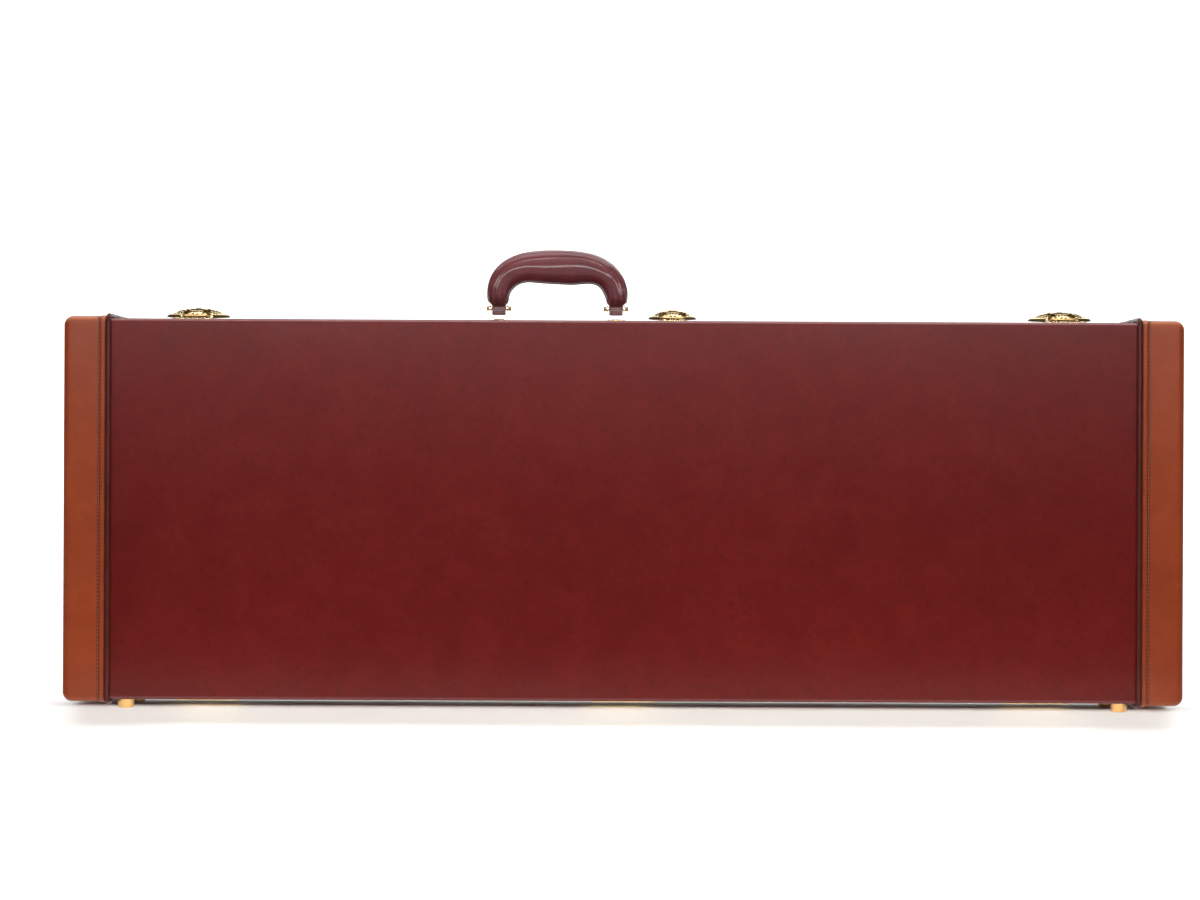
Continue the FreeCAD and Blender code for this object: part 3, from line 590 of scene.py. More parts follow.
def settle(c, y):
    """Where the points of a C-curve come to lie along the straight rim."""
    onto = c.copy()
    onto[8:137, 0] = y
    seg = np.linalg.norm(np.diff(c[8:137], axis=0), axis=1)
    t = np.concatenate([[0.0], np.cumsum(seg)]) / seg.sum()
    onto[8:137, 1] = c[8, 1] + (c[136, 1] - c[8, 1]) * t
    return onto


def end_cap(lid, sx):
    name = "%s_end_cap_%s" % ("lid" if lid else "body",
                              "left" if sx < 0 else "right")
    rows, burnish_and_light = [], []
    R, r = CORNER_R, EDGE_R + LEATHER
    for d, h, b in FOLD:
        s = section(lid, h, turn=7.0 + h)
        rows.append((CAP_X + d, s))
        burnish_and_light.append(b)
    for ph in np.radians(np.linspace(0, 90, 9)):
        x = CAP_END - R + R * math.sin(ph)
        iz = R * (1 - math.cos(ph))
        fx = x - (CAP_END - r)
        iff = r - math.sqrt(max(r * r - fx * fx, 0.0)) if fx > 0 else 0.0
        rows.append((x, section(lid, LEATHER, iff, iz, turn=9.0)))
        burnish_and_light.append(0.0)
    # worn, darker corners
    last = rows[-1][1]
    yr = last[0, 0]
    # the leather is skived along the rim, so its outside ends a little short
    onto = settle(last, last[8, 0])
    for k in np.linspace(0, 1, 16)[1:]:
        rows.append((CAP_END, last + (onto - last) * k))
        burnish_and_light.append(0.6 if k > 0.97 else 0.0)
    nv = len(last)
    po = np.zeros((len(rows), nv, 3))
    for k, (x, s) in enumerate(rows):
        po[k, :, 0] = sx * x
        po[k, :, 1:] = s
    # the fold is pressed flat underneath, where the two halves' caps meet
    # when the case is opened
    flat = np.clip((np.abs(po[:, :, 1] - yr) - 2.5) / 8.0, 0, 1)
    po[:, :, 2] = np.maximum(po[:, :, 2], Z0 - (2.0 + 0.8 * flat))
    # inside face of the leather
    inner = []
    si = section(lid, 0.02, turn=7.0)
    for x, s in rows[:len(FOLD)]:
        inner.append((x, si))
    Ri, ri = CORNER_R - LEATHER, EDGE_R
    for ph in np.radians(np.linspace(0, 90, 9)):
        x = HX - Ri + Ri * math.sin(ph)
        fx = x - (HX - ri)
        iff = ri - math.sqrt(max(ri * ri - fx * fx, 0.0)) if fx > 0 else 0.0
        inner.append((x + 0.02, section(lid, 0.02, iff, Ri * (1 - math.cos(ph)),
                                        turn=7.0)))
    li = inner[-1][1]
    onto = settle(li, li[0, 0])
    for k in range(1, 16):
        inner.append((HX + 0.02, li + (onto - li) * (k / 15.0)))
    pi = np.zeros_like(po)
    for k, (x, s) in enumerate(inner):
        pi[k, :, 0] = sx * x
        pi[k, :, 1:] = s
    # hand-cut leather: a little uneven, and soft over the end
    w = smooth_noise((po[:, :, 2], po[:, :, 0] + po[:, :, 1]), 60.0,
                     31 + lid + 2 * (sx > 0)) * 0.10
    nlen = np.clip((po[:, :, 1] - yr) * (-1 if lid else 1), 0, 4) / 4.0
    inset_rows = np.zeros(len(rows))
    inset_rows[8:20] = 1.0
    face_dir = -1.0 if lid else 1.0
    on_face = np.abs(np.abs(po[:, :, 1] - (YF if lid else YB)) - LEATHER) < 0.75
    po[:, :, 1] += np.where(on_face & (inset_rows[:, None] > 0), w * face_dir, 0.0)
    v, f = slab(po, pi)
    b = np.repeat(np.array(burnish_and_light), nv)
    # the turned rim is burnished too
    at_rim = np.abs(po[:, :, 1] - yr) < 0.05
    b = np.maximum(b, np.where(at_rim.reshape(-1), 0.7, 0.0))
    b = np.concatenate([b, np.full(len(b), 0.6)])
    # painted highlight over the top edge, and a weaker one a little below
    e = np.zeros((len(rows), nv))
    for j in range(13):
        el = 90.0 - 7.5 * j
        e[:len(FOLD) + 9, 15 + j] = math.exp(-((el - 46.0) / 27.0) ** 2)
        e[:len(FOLD) + 9, 117 + j] = 0.30 * math.exp(-((7.5 * j - 38.0) / 22.0) ** 2)
    for k in range(9):
        e[len(FOLD) + k] *= math.cos(math.radians(90.0 * k / 8.0))
    e[:2] = 0.0
    e = np.concatenate([e.reshape(-1), np.zeros(e.size)])
    ob = make(name.replace("end_cap", "leather_end"), v, f, M_TAN,
              "lid" if lid else "case_body", replaces=[name],
              attrs={"burnish_and_painted_light": b, "edge": e})
    return merge(ob)


def path_yz(lid, h, y_top, y_bot, step=1.0):
    """Path h above the cover, over the top, down the face, back under."""
    s = 1.0 if lid else -1.0
    yf = (YF if lid else YB) - s * h
    zt, zb, r = Z1 + h, Z0 - h, EDGE_R + h
    out = []
    n = max(int(abs(y_top - (yf + s * r)) / step), 2)
    out += [(y, zt) for y in np.linspace(y_top, yf + s * r, n, endpoint=False)]
    na = max(int(r * 1.57 / step), 8)
    a = np.radians(np.linspace(90, 180 if lid else 0, na, endpoint=False))
    out += [(yf + s * r + r * math.cos(t), zt - r + r * math.sin(t)) for t in a]
    n = int((zt - zb - 2 * r) / step)
    out += [(yf, z) for z in np.linspace(zt - r, zb + r, n, endpoint=False)]
    a = np.radians(np.linspace(180 if lid else 0, 270 if lid else -90, na,
                               endpoint=False))
    out += [(yf + s * r + r * math.cos(t), zb + r + r * math.sin(t)) for t in a]
    n = max(int(abs(y_bot - (yf + s * r)) / step), 2)
    out += [(y, zb) for y in np.linspace(yf + s * r, y_bot, n)]
    return np.array(out)


def tangents(p):
    t = np.gradient(p, axis=0)
    return t / np.linalg.norm(t, axis=1, keepdims=True)


def welt(lid, sx):
    name = "%s_welt_%s" % ("lid" if lid else "body",
                           "left" if sx < 0 else "right")
    a, b = mmbox(name)
    r = (b[0] - a[0]) / 2.0
    xm = (a[0] + b[0]) / 2.0
    y_top = LID_Y + 0.2 if lid else BODY_Y - 0.2
    y_bot = SPLIT - 8.0 if lid else SPLIT + 4.5
    p = path_yz(lid, r, y_top, y_bot, 1.6)
    t2 = tangents(p)
    nrm = np.stack([-t2[:, 1], t2[:, 0]], 1) * (1 if lid else -1)
    # outward normals
    path = np.stack([np.full(len(p), xm), p[:, 0], p[:, 1]], 1)
    fr = np.zeros((len(p), 2, 3))
    fr[:, 0, 1:] = nrm
    fr[:, 1, 0] = 1.0
    arc = np.arange(len(p)) * 1.6
    rad = (r - 0.06) * (1 + 0.018 * np.sin(arc / 7.3)
                        + 0.012 * np.sin(arc / 2.9 + 1.0))
    # rounded ends
    k = np.array([0.35, 0.75, 0.93])
    rad[:3] *= k
    rad[-3:] *= k[::-1]
    path[1:3, 1] += (path[0, 1] - path[1:3, 1]) * 0.6
    v, f = sweep(path, fr, rad, 16)
    ob = make(name.replace("welt", "piping"), v, f, M_WELT,
              "lid" if lid else "case_body", replaces=[name])
    return ob


def capsule(nr=6, ns=6):
    v, f = [], []
    for i in range(1, nr):
        a = math.pi * i / nr
        for j in range(ns):
            b = 2 * math.pi * j / ns
            v.append((-math.cos(a), math.sin(a) * math.cos(b),
                      math.sin(a) * math.sin(b)))
    n = len(v)
    v += [(-1, 0, 0), (1, 0, 0)]
    for i in range(nr - 2):
        for j in range(ns):
            j2 = (j + 1) % ns
            f.append((i * ns + j, i * ns + j2, (i + 1) * ns + j2,
                      (i + 1) * ns + j))
    for j in range(ns):
        j2 = (j + 1) % ns
        f.append((n, j2, j))
        f.append((n + 1, (nr - 2) * ns + j, (nr - 2) * ns + j2))
    return np.array(v), f


CV, CF = capsule()


def stitches(name, path, normal, body, mat, pitch=3.6, length=3.0, r=0.42,
             tilt=0.06):
    """A row of separate stitches along a path (n,3) with unit normals."""
    seg = np.linalg.norm(np.diff(path, axis=0), axis=1)
    s = np.concatenate([[0], np.cumsum(seg)])
    count = int(s[-1] / pitch)
    start = (s[-1] - (count - 1) * pitch) / 2.0
    vs, fs = [], []
    rr = np.random.default_rng(len(name) * 13 + int(s[-1]))
    for k in range(count):
        at = start + k * pitch
        p = np.array([np.interp(at, s, path[:, i]) for i in range(3)])
        q = np.array([np.interp(at + 0.4, s, path[:, i]) for i in range(3)])
        o = np.array([np.interp(at - 0.4, s, path[:, i]) for i in range(3)])
        t = (q - o) / np.linalg.norm(q - o)
        n = np.array([np.interp(at, s, normal[:, i]) for i in range(3)])
        n /= np.linalg.norm(n)
        bn = np.cross(n, t)
        t = t + bn * (tilt + rr.normal(0, 0.02))
        t /= np.linalg.norm(t)
        bn = np.cross(n, t)
        base = len(vs) * len(CV)
        sag = -0.22 * (CV[:, 0] ** 2) * r * 2
        pts = p + np.outer(CV[:, 0] * length / 2, t) \
            + np.outer(CV[:, 1] * r, bn) + np.outer(CV[:, 2] * r + sag, n)
        vs.append(pts)
        fs += [tuple(i + base for i in q2) for q2 in CF]
    return make(name, np.concatenate(vs), fs, mat, body)


for lid in (True, False):
    for sx in (-1, 1):
        end_cap(lid, sx)
        welt(lid, sx)
        hh = STITCH_H + 0.18
        p = path_yz(lid, hh, LID_Y - 3.0 if lid else BODY_Y + 3.0,
                    LID_Y - 3.0 if lid else BODY_Y + 3.0, 1.0)
        t2 = tangents(p)
        n2 = np.stack([-t2[:, 1], t2[:, 0]], 1) * (1 if lid else -1)
        if lid:
            n2 = n2 * np.sign(n2[0, 1])
        else:
            n2 = n2 * np.sign(n2[0, 1])
        path = np.stack([np.full(len(p), sx * (CAP_X + STITCH_D)),
                         p[:, 0], p[:, 1]], 1)
        nn = np.stack([np.zeros(len(p)), n2[:, 0], n2[:, 1]], 1)
        stitches("%s_stitching_%s" % ("lid" if lid else "body",
                                      "left" if sx < 0 else "right"),
                 path, nn, "lid" if lid else "case_body", M_THREAD)

# =====================================================================
# handle: one stuffed leather grip that runs down into its two flat tabs
# =====================================================================

ga, gb = mmbox("handle_grip")
GX, GY = (ga[0] + gb[0]) / 2.0 + 0.05, (ga[1] + gb[1]) / 2.0
# outer point, inner point, half thickness, squareness of the section
STATIONS = [
    ((-63.6, 7.5), (-50.4, 7.5), 3.0, 7.0),
    ((-63.6, 12.0), (-50.4, 12.0), 3.0, 7.0),
    ((-63.7, 16.3), (-50.3, 16.3), 3.1, 6.0),
    ((-65.4, 18.6), (-49.4, 18.3), 6.1, 3.4),
    ((-67.5, 21.4), (-48.0, 20.3), 8.6, 2.5),
    ((-68.6, 27.0), (-46.8, 26.0), 10.2, 2.3),
    ((-67.6, 38.0), (-44.6, 31.5), 11.2, 2.2),
    ((-62.6, 50.0), (-40.0, 36.5), 12.0, 2.15),
    ((-52.6, 60.5), (-33.5, 39.2), 12.8, 2.1),
    ((-37.6, 67.4), (-25.5, 39.8), 13.4, 2.1),
    ((-19.5, 70.4), (-14.0, 38.9), 13.8, 2.1),
    ((0.0, 71.3), (0.0, 38.0), 14.0, 2.1),
    ((20.5, 70.2), (14.5, 37.8), 13.8, 2.1),
    ((38.8, 66.2), (27.5, 38.8), 13.4, 2.1),
    ((53.4, 58.2), (36.0, 37.8), 12.8, 2.1),
    ((63.0, 46.6), (42.0, 34.0), 12.0, 2.15),
    ((67.6, 35.0), (45.4, 28.6), 11.2, 2.2),
    ((68.5, 26.0), (47.2, 23.8), 10.2, 2.3),
    ((67.5, 20.8), (48.2, 19.9), 8.6, 2.5),
    ((65.4, 18.4), (49.4, 18.2), 6.1, 3.4),
    ((63.7, 16.3), (50.3, 16.3), 3.1, 6.0),
    ((63.6, 12.0), (50.4, 12.0), 3.0, 7.0),
    ((63.6, 7.5), (50.4, 7.5), 3.0, 7.0),
]


def bumpf(x, c, w):
    return np.exp(-((x - c) / w) ** 2)


def handle():
    flat = np.array([[o[0], o[1], i[0], i[1], w, e]
                     for o, i, w, e in STATIONS])
    nst = len(flat)
    ts = np.linspace(0, nst - 1, 300)
    rows = catmull(flat, ts)
    nseg = 112
    phi = np.linspace(0, 2 * math.pi, nseg, endpoint=False)
    cphi, sphi = np.cos(phi), np.sin(phi)
    loops, burnish_and_light = [], []
    deg = np.degrees(phi)
    front = np.where(deg > 180, 360 - deg, deg)     # 0 outer, 180 inner
    side = np.where(deg > 180, 1.0, -1.0)           # front (-Y) first
    for t, r in zip(ts, rows):
        o, i = np.array([r[0], r[1]]), np.array([r[2], r[3]])
        w, e = r[4], max(r[5], 2.0)
        c = (o + i) / 2.0
        d = (o - i) / 2.0
        a = np.linalg.norm(d)
        u = d / a
        p = 2.0 / e
        ca = np.sign(cphi) * np.abs(cphi) ** p * a
        sa = np.sign(sphi) * np.abs(sphi) ** p * w
        # how far along: 0 in a tab, 1 in the stuffed part
        k = min(max((min(t, nst - 1 - t) - 2.2) / 2.0, 0.0), 1.0)
        s = (t - (nst - 1) / 2.0) / ((nst - 1) / 2.0)
        # long stretch creases over the shoulders, a little different each side
        win = bumpf(s, -0.42, 0.20) + bumpf(s, 0.44, 0.17) * 0.9
        drift = 5.0 * math.sin(3.1 * s)
        disp = np.zeros(nseg)
        for cc, amp, wd in ((24, 0.34, 3.4), (37, 0.42, 3.2), (52, 0.36, 4.0),
                            (70, 0.22, 5.0)):
            cc2 = cc + drift + 2.5 * math.sin(2.0 * s + cc)
            disp += amp * win * bumpf(front, cc2, wd) * (0.7 + 0.3 * side)
            disp -= 0.55 * amp * win * bumpf(front, cc2 + 7.0, 3.5)
        # cross wrinkles on the inside of each bend
        wr = math.sin(t * 9.0 + 1.2 * math.sin(t * 2.3))
        disp += 0.16 * wr * (bumpf(s, -0.62, 0.13) + bumpf(s, 0.62, 0.13)) \
            * bumpf(front, 150, 34)
        # gathered pleats where the stuffing ends above the tabs
        g = bumpf(min(t, nst - 1 - t), 4.0, 0.85)
        disp += 0.42 * g * np.cos(phi * 11 + 0.5 * math.sin(t))
        g2 = bumpf(min(t, nst - 1 - t), 5.2, 1.0)
        disp += 0.20 * g2 * np.cos(phi * 17 + 0.8)
        # glued seam along the inside: a low rib with a groove on each side
        disp += k * (0.55 * bumpf(front, 180, 4.2) - 0.42 * bumpf(front, 170, 4.0))
        # soft unevenness
        disp += k * 0.13 * (np.sin(2.1 * t + 2 * phi) + np.sin(1.3 * t - 3 * phi + 1))
        cx = ca + disp * cphi
        cy = sa + disp * sphi
        pts = np.zeros((nseg, 3))
        pts[:, 0] = GX + c[0] + u[0] * cx
        pts[:, 1] = GY - cy
        pts[:, 2] = T + c[1] + u[1] * cx
        loops.append(pts)
        # darker along the groove beside the seam rib and a little over the tabs; painted shade in the
        # hollows of the gathered pleats
        b = k * 0.85 * bumpf(front, 170, 3.6) + 0.25 * g * (
            0.5 - 0.5 * np.cos(phi * 11 + 0.5 * math.sin(t)))
        burnish_and_light.append(np.clip(b + (1 - k) * 0.12, 0, 1))

    def end(lp, inward):
        """Rounded, flat end of a tab."""
        c = lp.mean(0)
        out = []
        for dz, sc_ in ((0.0, 0.80), (0.12, 0.90), (0.45, 0.97)):
            q = c + (lp - c) * sc_
            q[:, 2] = lp[:, 2] + dz
            out.append(q)
        return out
    first, last = loops[0], loops[-1]
    head = end(first, 1)
    tail = end(last, 1)[::-1]
    loops = head + [loops[k] for k in range(3, len(loops) - 3)] + tail
    burnish_and_light = [np.full(nseg, 0.7)] * 3 + burnish_and_light[3:-3] + [np.full(nseg, 0.7)] * 3
    v, f = loops_solid(loops)
    ob = make("leather_grip", v, f, M_GRIP, "handle", replaces=["handle_grip"],
              attrs={"burnish_and_painted_light": np.concatenate(burnish_and_light)})
    # stitching beside the rib, both sides of the seam, and across each tab
    n = len(rows)
    for sgn, tag in ((1, "front"), (-1, "rear")):
        pp, nn = [], []
        for t, r in zip(ts, rows):
            if not 5.0 < t < nst - 6.0:
                continue
            o, i = np.array([r[0], r[1]]), np.array([r[2], r[3]])
            c, d = (o + i) / 2.0, (o - i) / 2.0
            a = np.linalg.norm(d)
            u = d / a
            al = math.radians(170)
            ca, sa = a * math.cos(al) * 1.0, r[4] * math.sin(al)
            pp.append((GX + c[0] + u[0] * ca, GY - sgn * sa, T + c[1] + u[1] * ca))
            nv = np.array([u[0] * math.cos(al), -sgn * math.sin(al),
                           u[1] * math.cos(al)])
            nn.append(nv / np.linalg.norm(nv))
        stitches("grip_stitching_" + tag, np.array(pp), np.array(nn), "handle",
                 M_THREAD_D, pitch=3.0, length=2.4, r=0.34)
    for sx, tag in ((-1, "left"), (1, "right")):
        for sgn, tag2 in ((-1, "front"), (1, "rear")):
            xs = GX + sx * 57.0 + np.array([-5.0, -5.0, 5.0, 5.0])
            zs = T + np.array([11.5, 9.2, 9.2, 11.5])
            pp = np.stack([xs, np.full(4, GY + sgn * 3.02), zs], 1)
            stitches("tab_stitching_%s_%s" % (tag, tag2), pp,
                     np.repeat([[0.0, sgn, 0.0]], 4, 0), "handle", M_THREAD_D,
                     pitch=1.7, length=1.3, r=0.22,
                     tilt=0.0)


handle()

# =====================================================================
# latches: cast brass with scrollwork, on a plate with a beaded border
# =====================================================================


def seg_dist(px, py, poly):
    """Distance from every point to a polyline, and how far along it is."""
    best = np.full(px.shape, 1e9)
    at = np.zeros(px.shape)
    n = len(poly) - 1
    for k in range(n):
        ax, ay = poly[k]
        bx, by = poly[k + 1]
        dx, dy = bx - ax, by - ay
        L = dx * dx + dy * dy + 1e-12
        t = np.clip(((px - ax) * dx + (py - ay) * dy) / L, 0, 1)
        d = np.hypot(px - ax - t * dx, py - ay - t * dy)
        m = d < best
        best = np.where(m, d, best)
        at = np.where(m, (k + t) / n, at)
    return best, at


def scroll(cx, cy, r0, r1, a0, turns, flip=1.0, n=46):
    a = np.linspace(0, turns * 2 * math.pi, n)
    r = r0 + (r1 - r0) * np.linspace(0, 1, n) ** 1.1
    return [(cx + flip * rr * math.cos(a0 + t), cy + rr * math.sin(a0 + t))
            for rr, t in zip(r, a)]


def leafy(px, py, x0, y0, ang, length, width):
    """A pointed leaf with a vein."""
    c, s = math.cos(ang), math.sin(ang)
    u = ((px - x0) * c + (py - y0) * s) / length
    v = (-(px - x0) * s + (py - y0) * c) / width
    prof = np.clip(np.sin(np.clip(u, 0, 1) * math.pi), 0, 1) ** 0.8
    body = np.clip(1 - (v / np.maximum(prof, 1e-3)) ** 2, 0, 1) * (u > 0) * (u < 1)
    vein = 1 - 0.55 * np.exp(-(v / 0.16) ** 2)
    return np.sqrt(body) * vein


def ornament(px, py, hx, hy, lock):
    """Relief in 0..1 for a latch lever, over points relative to its middle."""
    ax = np.abs(px)
    rho = np.sqrt((px / hx) ** 2 + (py / hy) ** 2)
    # stippled ground between the scrolls
    R = 0.24 * np.clip(np.cos(px * 3.7 + 0.6 * np.sin(py * 1.9))
                       * np.cos(py * 3.5 + 0.6 * np.sin(px * 2.1)) + 0.2, 0, 1)
    # rope of beads round the edge, and a plain ridge inside it
    nb = int(2 * math.pi * math.sqrt((hx * hx + hy * hy) / 2) * 0.93 / 2.5)
    ang = np.arctan2(py / hy, px / hx)
    bead = np.abs(((ang / (2 * math.pi) * nb) % 1.0) - 0.5) * 2
    dr = (rho - 0.925) * (hx + hy) / 2.0
    R = np.maximum(R, np.sqrt(np.clip(1 - (dr / 1.25) ** 2 - (bead * 0.95) ** 2,
                                      0, 1)) * 0.85)
    R = np.maximum(R, 0.75 * np.exp(-((rho - 0.80) * (hx + hy) / 2 / 0.55) ** 2))
    # paired scrolls, mirrored left and right
    k = hx / 31.0
    for cx, cy, r0, r1, a0, tn, fl, wd in (
            (10.5 * k, -3.4, 0.4, 4.4, 0.4, 1.55, 1, 0.85),
            (19.0 * k, 2.4, 0.4, 3.7, 3.3, 1.45, -1, 0.75),
            (10.0 * k, 6.6, 0.4, 3.4, 2.0, 1.35, 1, 0.75)):
        d, at = seg_dist(ax, py, scroll(cx, cy, r0, r1, a0, tn, fl))
        R = np.maximum(R, (1.0 - 0.25 * at) * np.exp(-(d / (wd * (0.7 + 0.5 * at))) ** 2.4))
        R = np.maximum(R, np.sqrt(np.clip(1 - ((ax - cx) ** 2 + (py - cy) ** 2)
                                          / 1.3 ** 2, 0, 1)))
    for x0, y0, a, ln, wd in (
            (4.0 * k, -7.5, 0.10, 9.0 * k, 1.9), (14.0 * k, -6.0, 0.75, 7.5 * k, 1.7),
            (15.0 * k, 7.5, -0.45, 8.0 * k, 1.8), (22.0 * k, -2.0, 0.15, 6.0 * k, 1.6),
            (4.5 * k, 9.5, 0.35, 7.0 * k, 1.6), (14.5 * k, 1.2, -0.2, 4.5 * k, 1.2),
            (3.6 * k, 3.2, 0.2, 5.0 * k, 1.2)):
        R = np.maximum(R, 0.95 * leafy(ax, py, x0, y0, a, ln, wd))
    # rosette in the middle, or a plain collar round the lock
    if lock is None:
        rr = np.hypot(px, py + 0.5)
        th = np.arctan2(py + 0.5, px)
        pet = 3.5 * (0.78 + 0.22 * np.cos(8 * th))
        R = np.where(rr < 4.6, np.maximum(
            R * 0.2, np.sqrt(np.clip(1 - (rr / pet) ** 2, 0, 1))
            * (0.75 + 0.25 * np.cos(8 * th))), R)
        R = np.maximum(R, np.sqrt(np.clip(1 - (rr / 1.3) ** 2, 0, 1)))
    else:
        rr = np.hypot(px, py - lock)
        R = np.where(rr < 6.6, R * 0.05, R)
        R = np.maximum(R, 0.9 * np.exp(-((rr - 5.3) / 0.75) ** 4))
        rr = np.hypot(px, py + 5.0)
        th = np.arctan2(py + 5.0, px)
        R = np.maximum(R, np.sqrt(np.clip(1 - (rr / (2.6 * (0.8 + 0.2 * np.cos(6 * th)))) ** 2, 0, 1)))
    return np.clip(R, 0, 1)


def grid_solid(top, bot, keep_cell):
    """Closed solid from two grids, leaving out the cells that are cut away."""
    nu, nv = top.shape[:2]
    n = nu * nv
    v = np.concatenate([top.reshape(-1, 3), bot.reshape(-1, 3)])
    f = []
    for i in range(nu - 1):
        for j in range(nv - 1):
            if not keep_cell[i, j]:
                continue
            a, b = i * nv + j, (i + 1) * nv + j
            f.append((a, b, b + 1, a + 1))
            f.append((a + n, a + 1 + n, b + 1 + n, b + n))
            for di, dj, e in ((-1, 0, (a + 1, a)), (1, 0, (b, b + 1)),
                              (0, -1, (a, b)), (0, 1, (b + 1, a + 1))):
                ii, jj = i + di, j + dj
                if 0 <= ii < nu - 1 and 0 <= jj < nv - 1 and keep_cell[ii, jj]:
                    continue
                f.append((e[0], e[1], e[1] + n, e[0] + n))
    used = np.zeros(len(v), bool)
    for q in f:
        used[list(q)] = True
    idx = np.cumsum(used) - 1
    return v[used], [tuple(int(idx[i]) for i in q) for q in f], used


def flat_part(name, outline, holes, x0, x1, mat, body, bevel=0.25):
    """Plate with holes, cut along X: outline and holes in (y, z)."""
    cu = bpy.data.curves.new(name, "CURVE")
    cu.dimensions = "2D"
    cu.fill_mode = "BOTH"
    cu.extrude = max((x1 - x0) / 2.0 - bevel, 0.01) * 0.001
    cu.bevel_depth = bevel * 0.001
    cu.bevel_resolution = 2
    cu.offset = -bevel * 0.001
    for pts in [outline] + list(holes):
        sp = cu.splines.new("POLY")
        sp.points.add(len(pts) - 1)
        for p, (a, b) in zip(sp.points, pts):
            p.co = (a * 0.001, b * 0.001, 0, 1)
        sp.use_cyclic_u = True
    tmp = bpy.data.objects.new(name + "_c", cu)
    sc.collection.objects.link(tmp)
    bpy.context.view_layer.update()
    dg = bpy.context.evaluated_depsgraph_get()
    me = bpy.data.meshes.new_from_object(tmp.evaluated_get(dg))
    bpy.data.objects.remove(tmp)
    # curve plane (x, y) is the row's (y, z); the extrusion runs along X
    v = np.empty(len(me.vertices) * 3)
    me.vertices.foreach_get("co", v)
    v = v.reshape(-1, 3)
    w = np.stack([v[:, 2] + (x0 + x1) * 0.0005, v[:, 0], v[:, 1]], 1)
    me.vertices.foreach_set("co", w.reshape(-1))
    bm = bmesh.new()
    bm.from_mesh(me)
    bmesh.ops.remove_doubles(bm, verts=bm.verts, dist=0.000005)
    bmesh.ops.recalc_face_normals(bm, faces=bm.faces)
    bm.to_mesh(me)
    bm.free()
    me.materials.clear()
    me.materials.append(mat)
    me.polygons.foreach_set("use_smooth", [True] * len(me.polygons))
    me.set_sharp_from_angle(angle=math.radians(40))
    ob = bpy.data.objects.new(name, me)
    sc.collection.objects.link(ob)
    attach(ob, body)
    return ob


def circle(c, r, a0=0.0, a1=360.0, n=28, closed=True):
    t = np.radians(np.linspace(a0, a1, n, endpoint=not closed))
    return [(c[0] + r * math.cos(x), c[1] + r * math.sin(x)) for x in t]


PIV = (-7.0, T + 5.4)


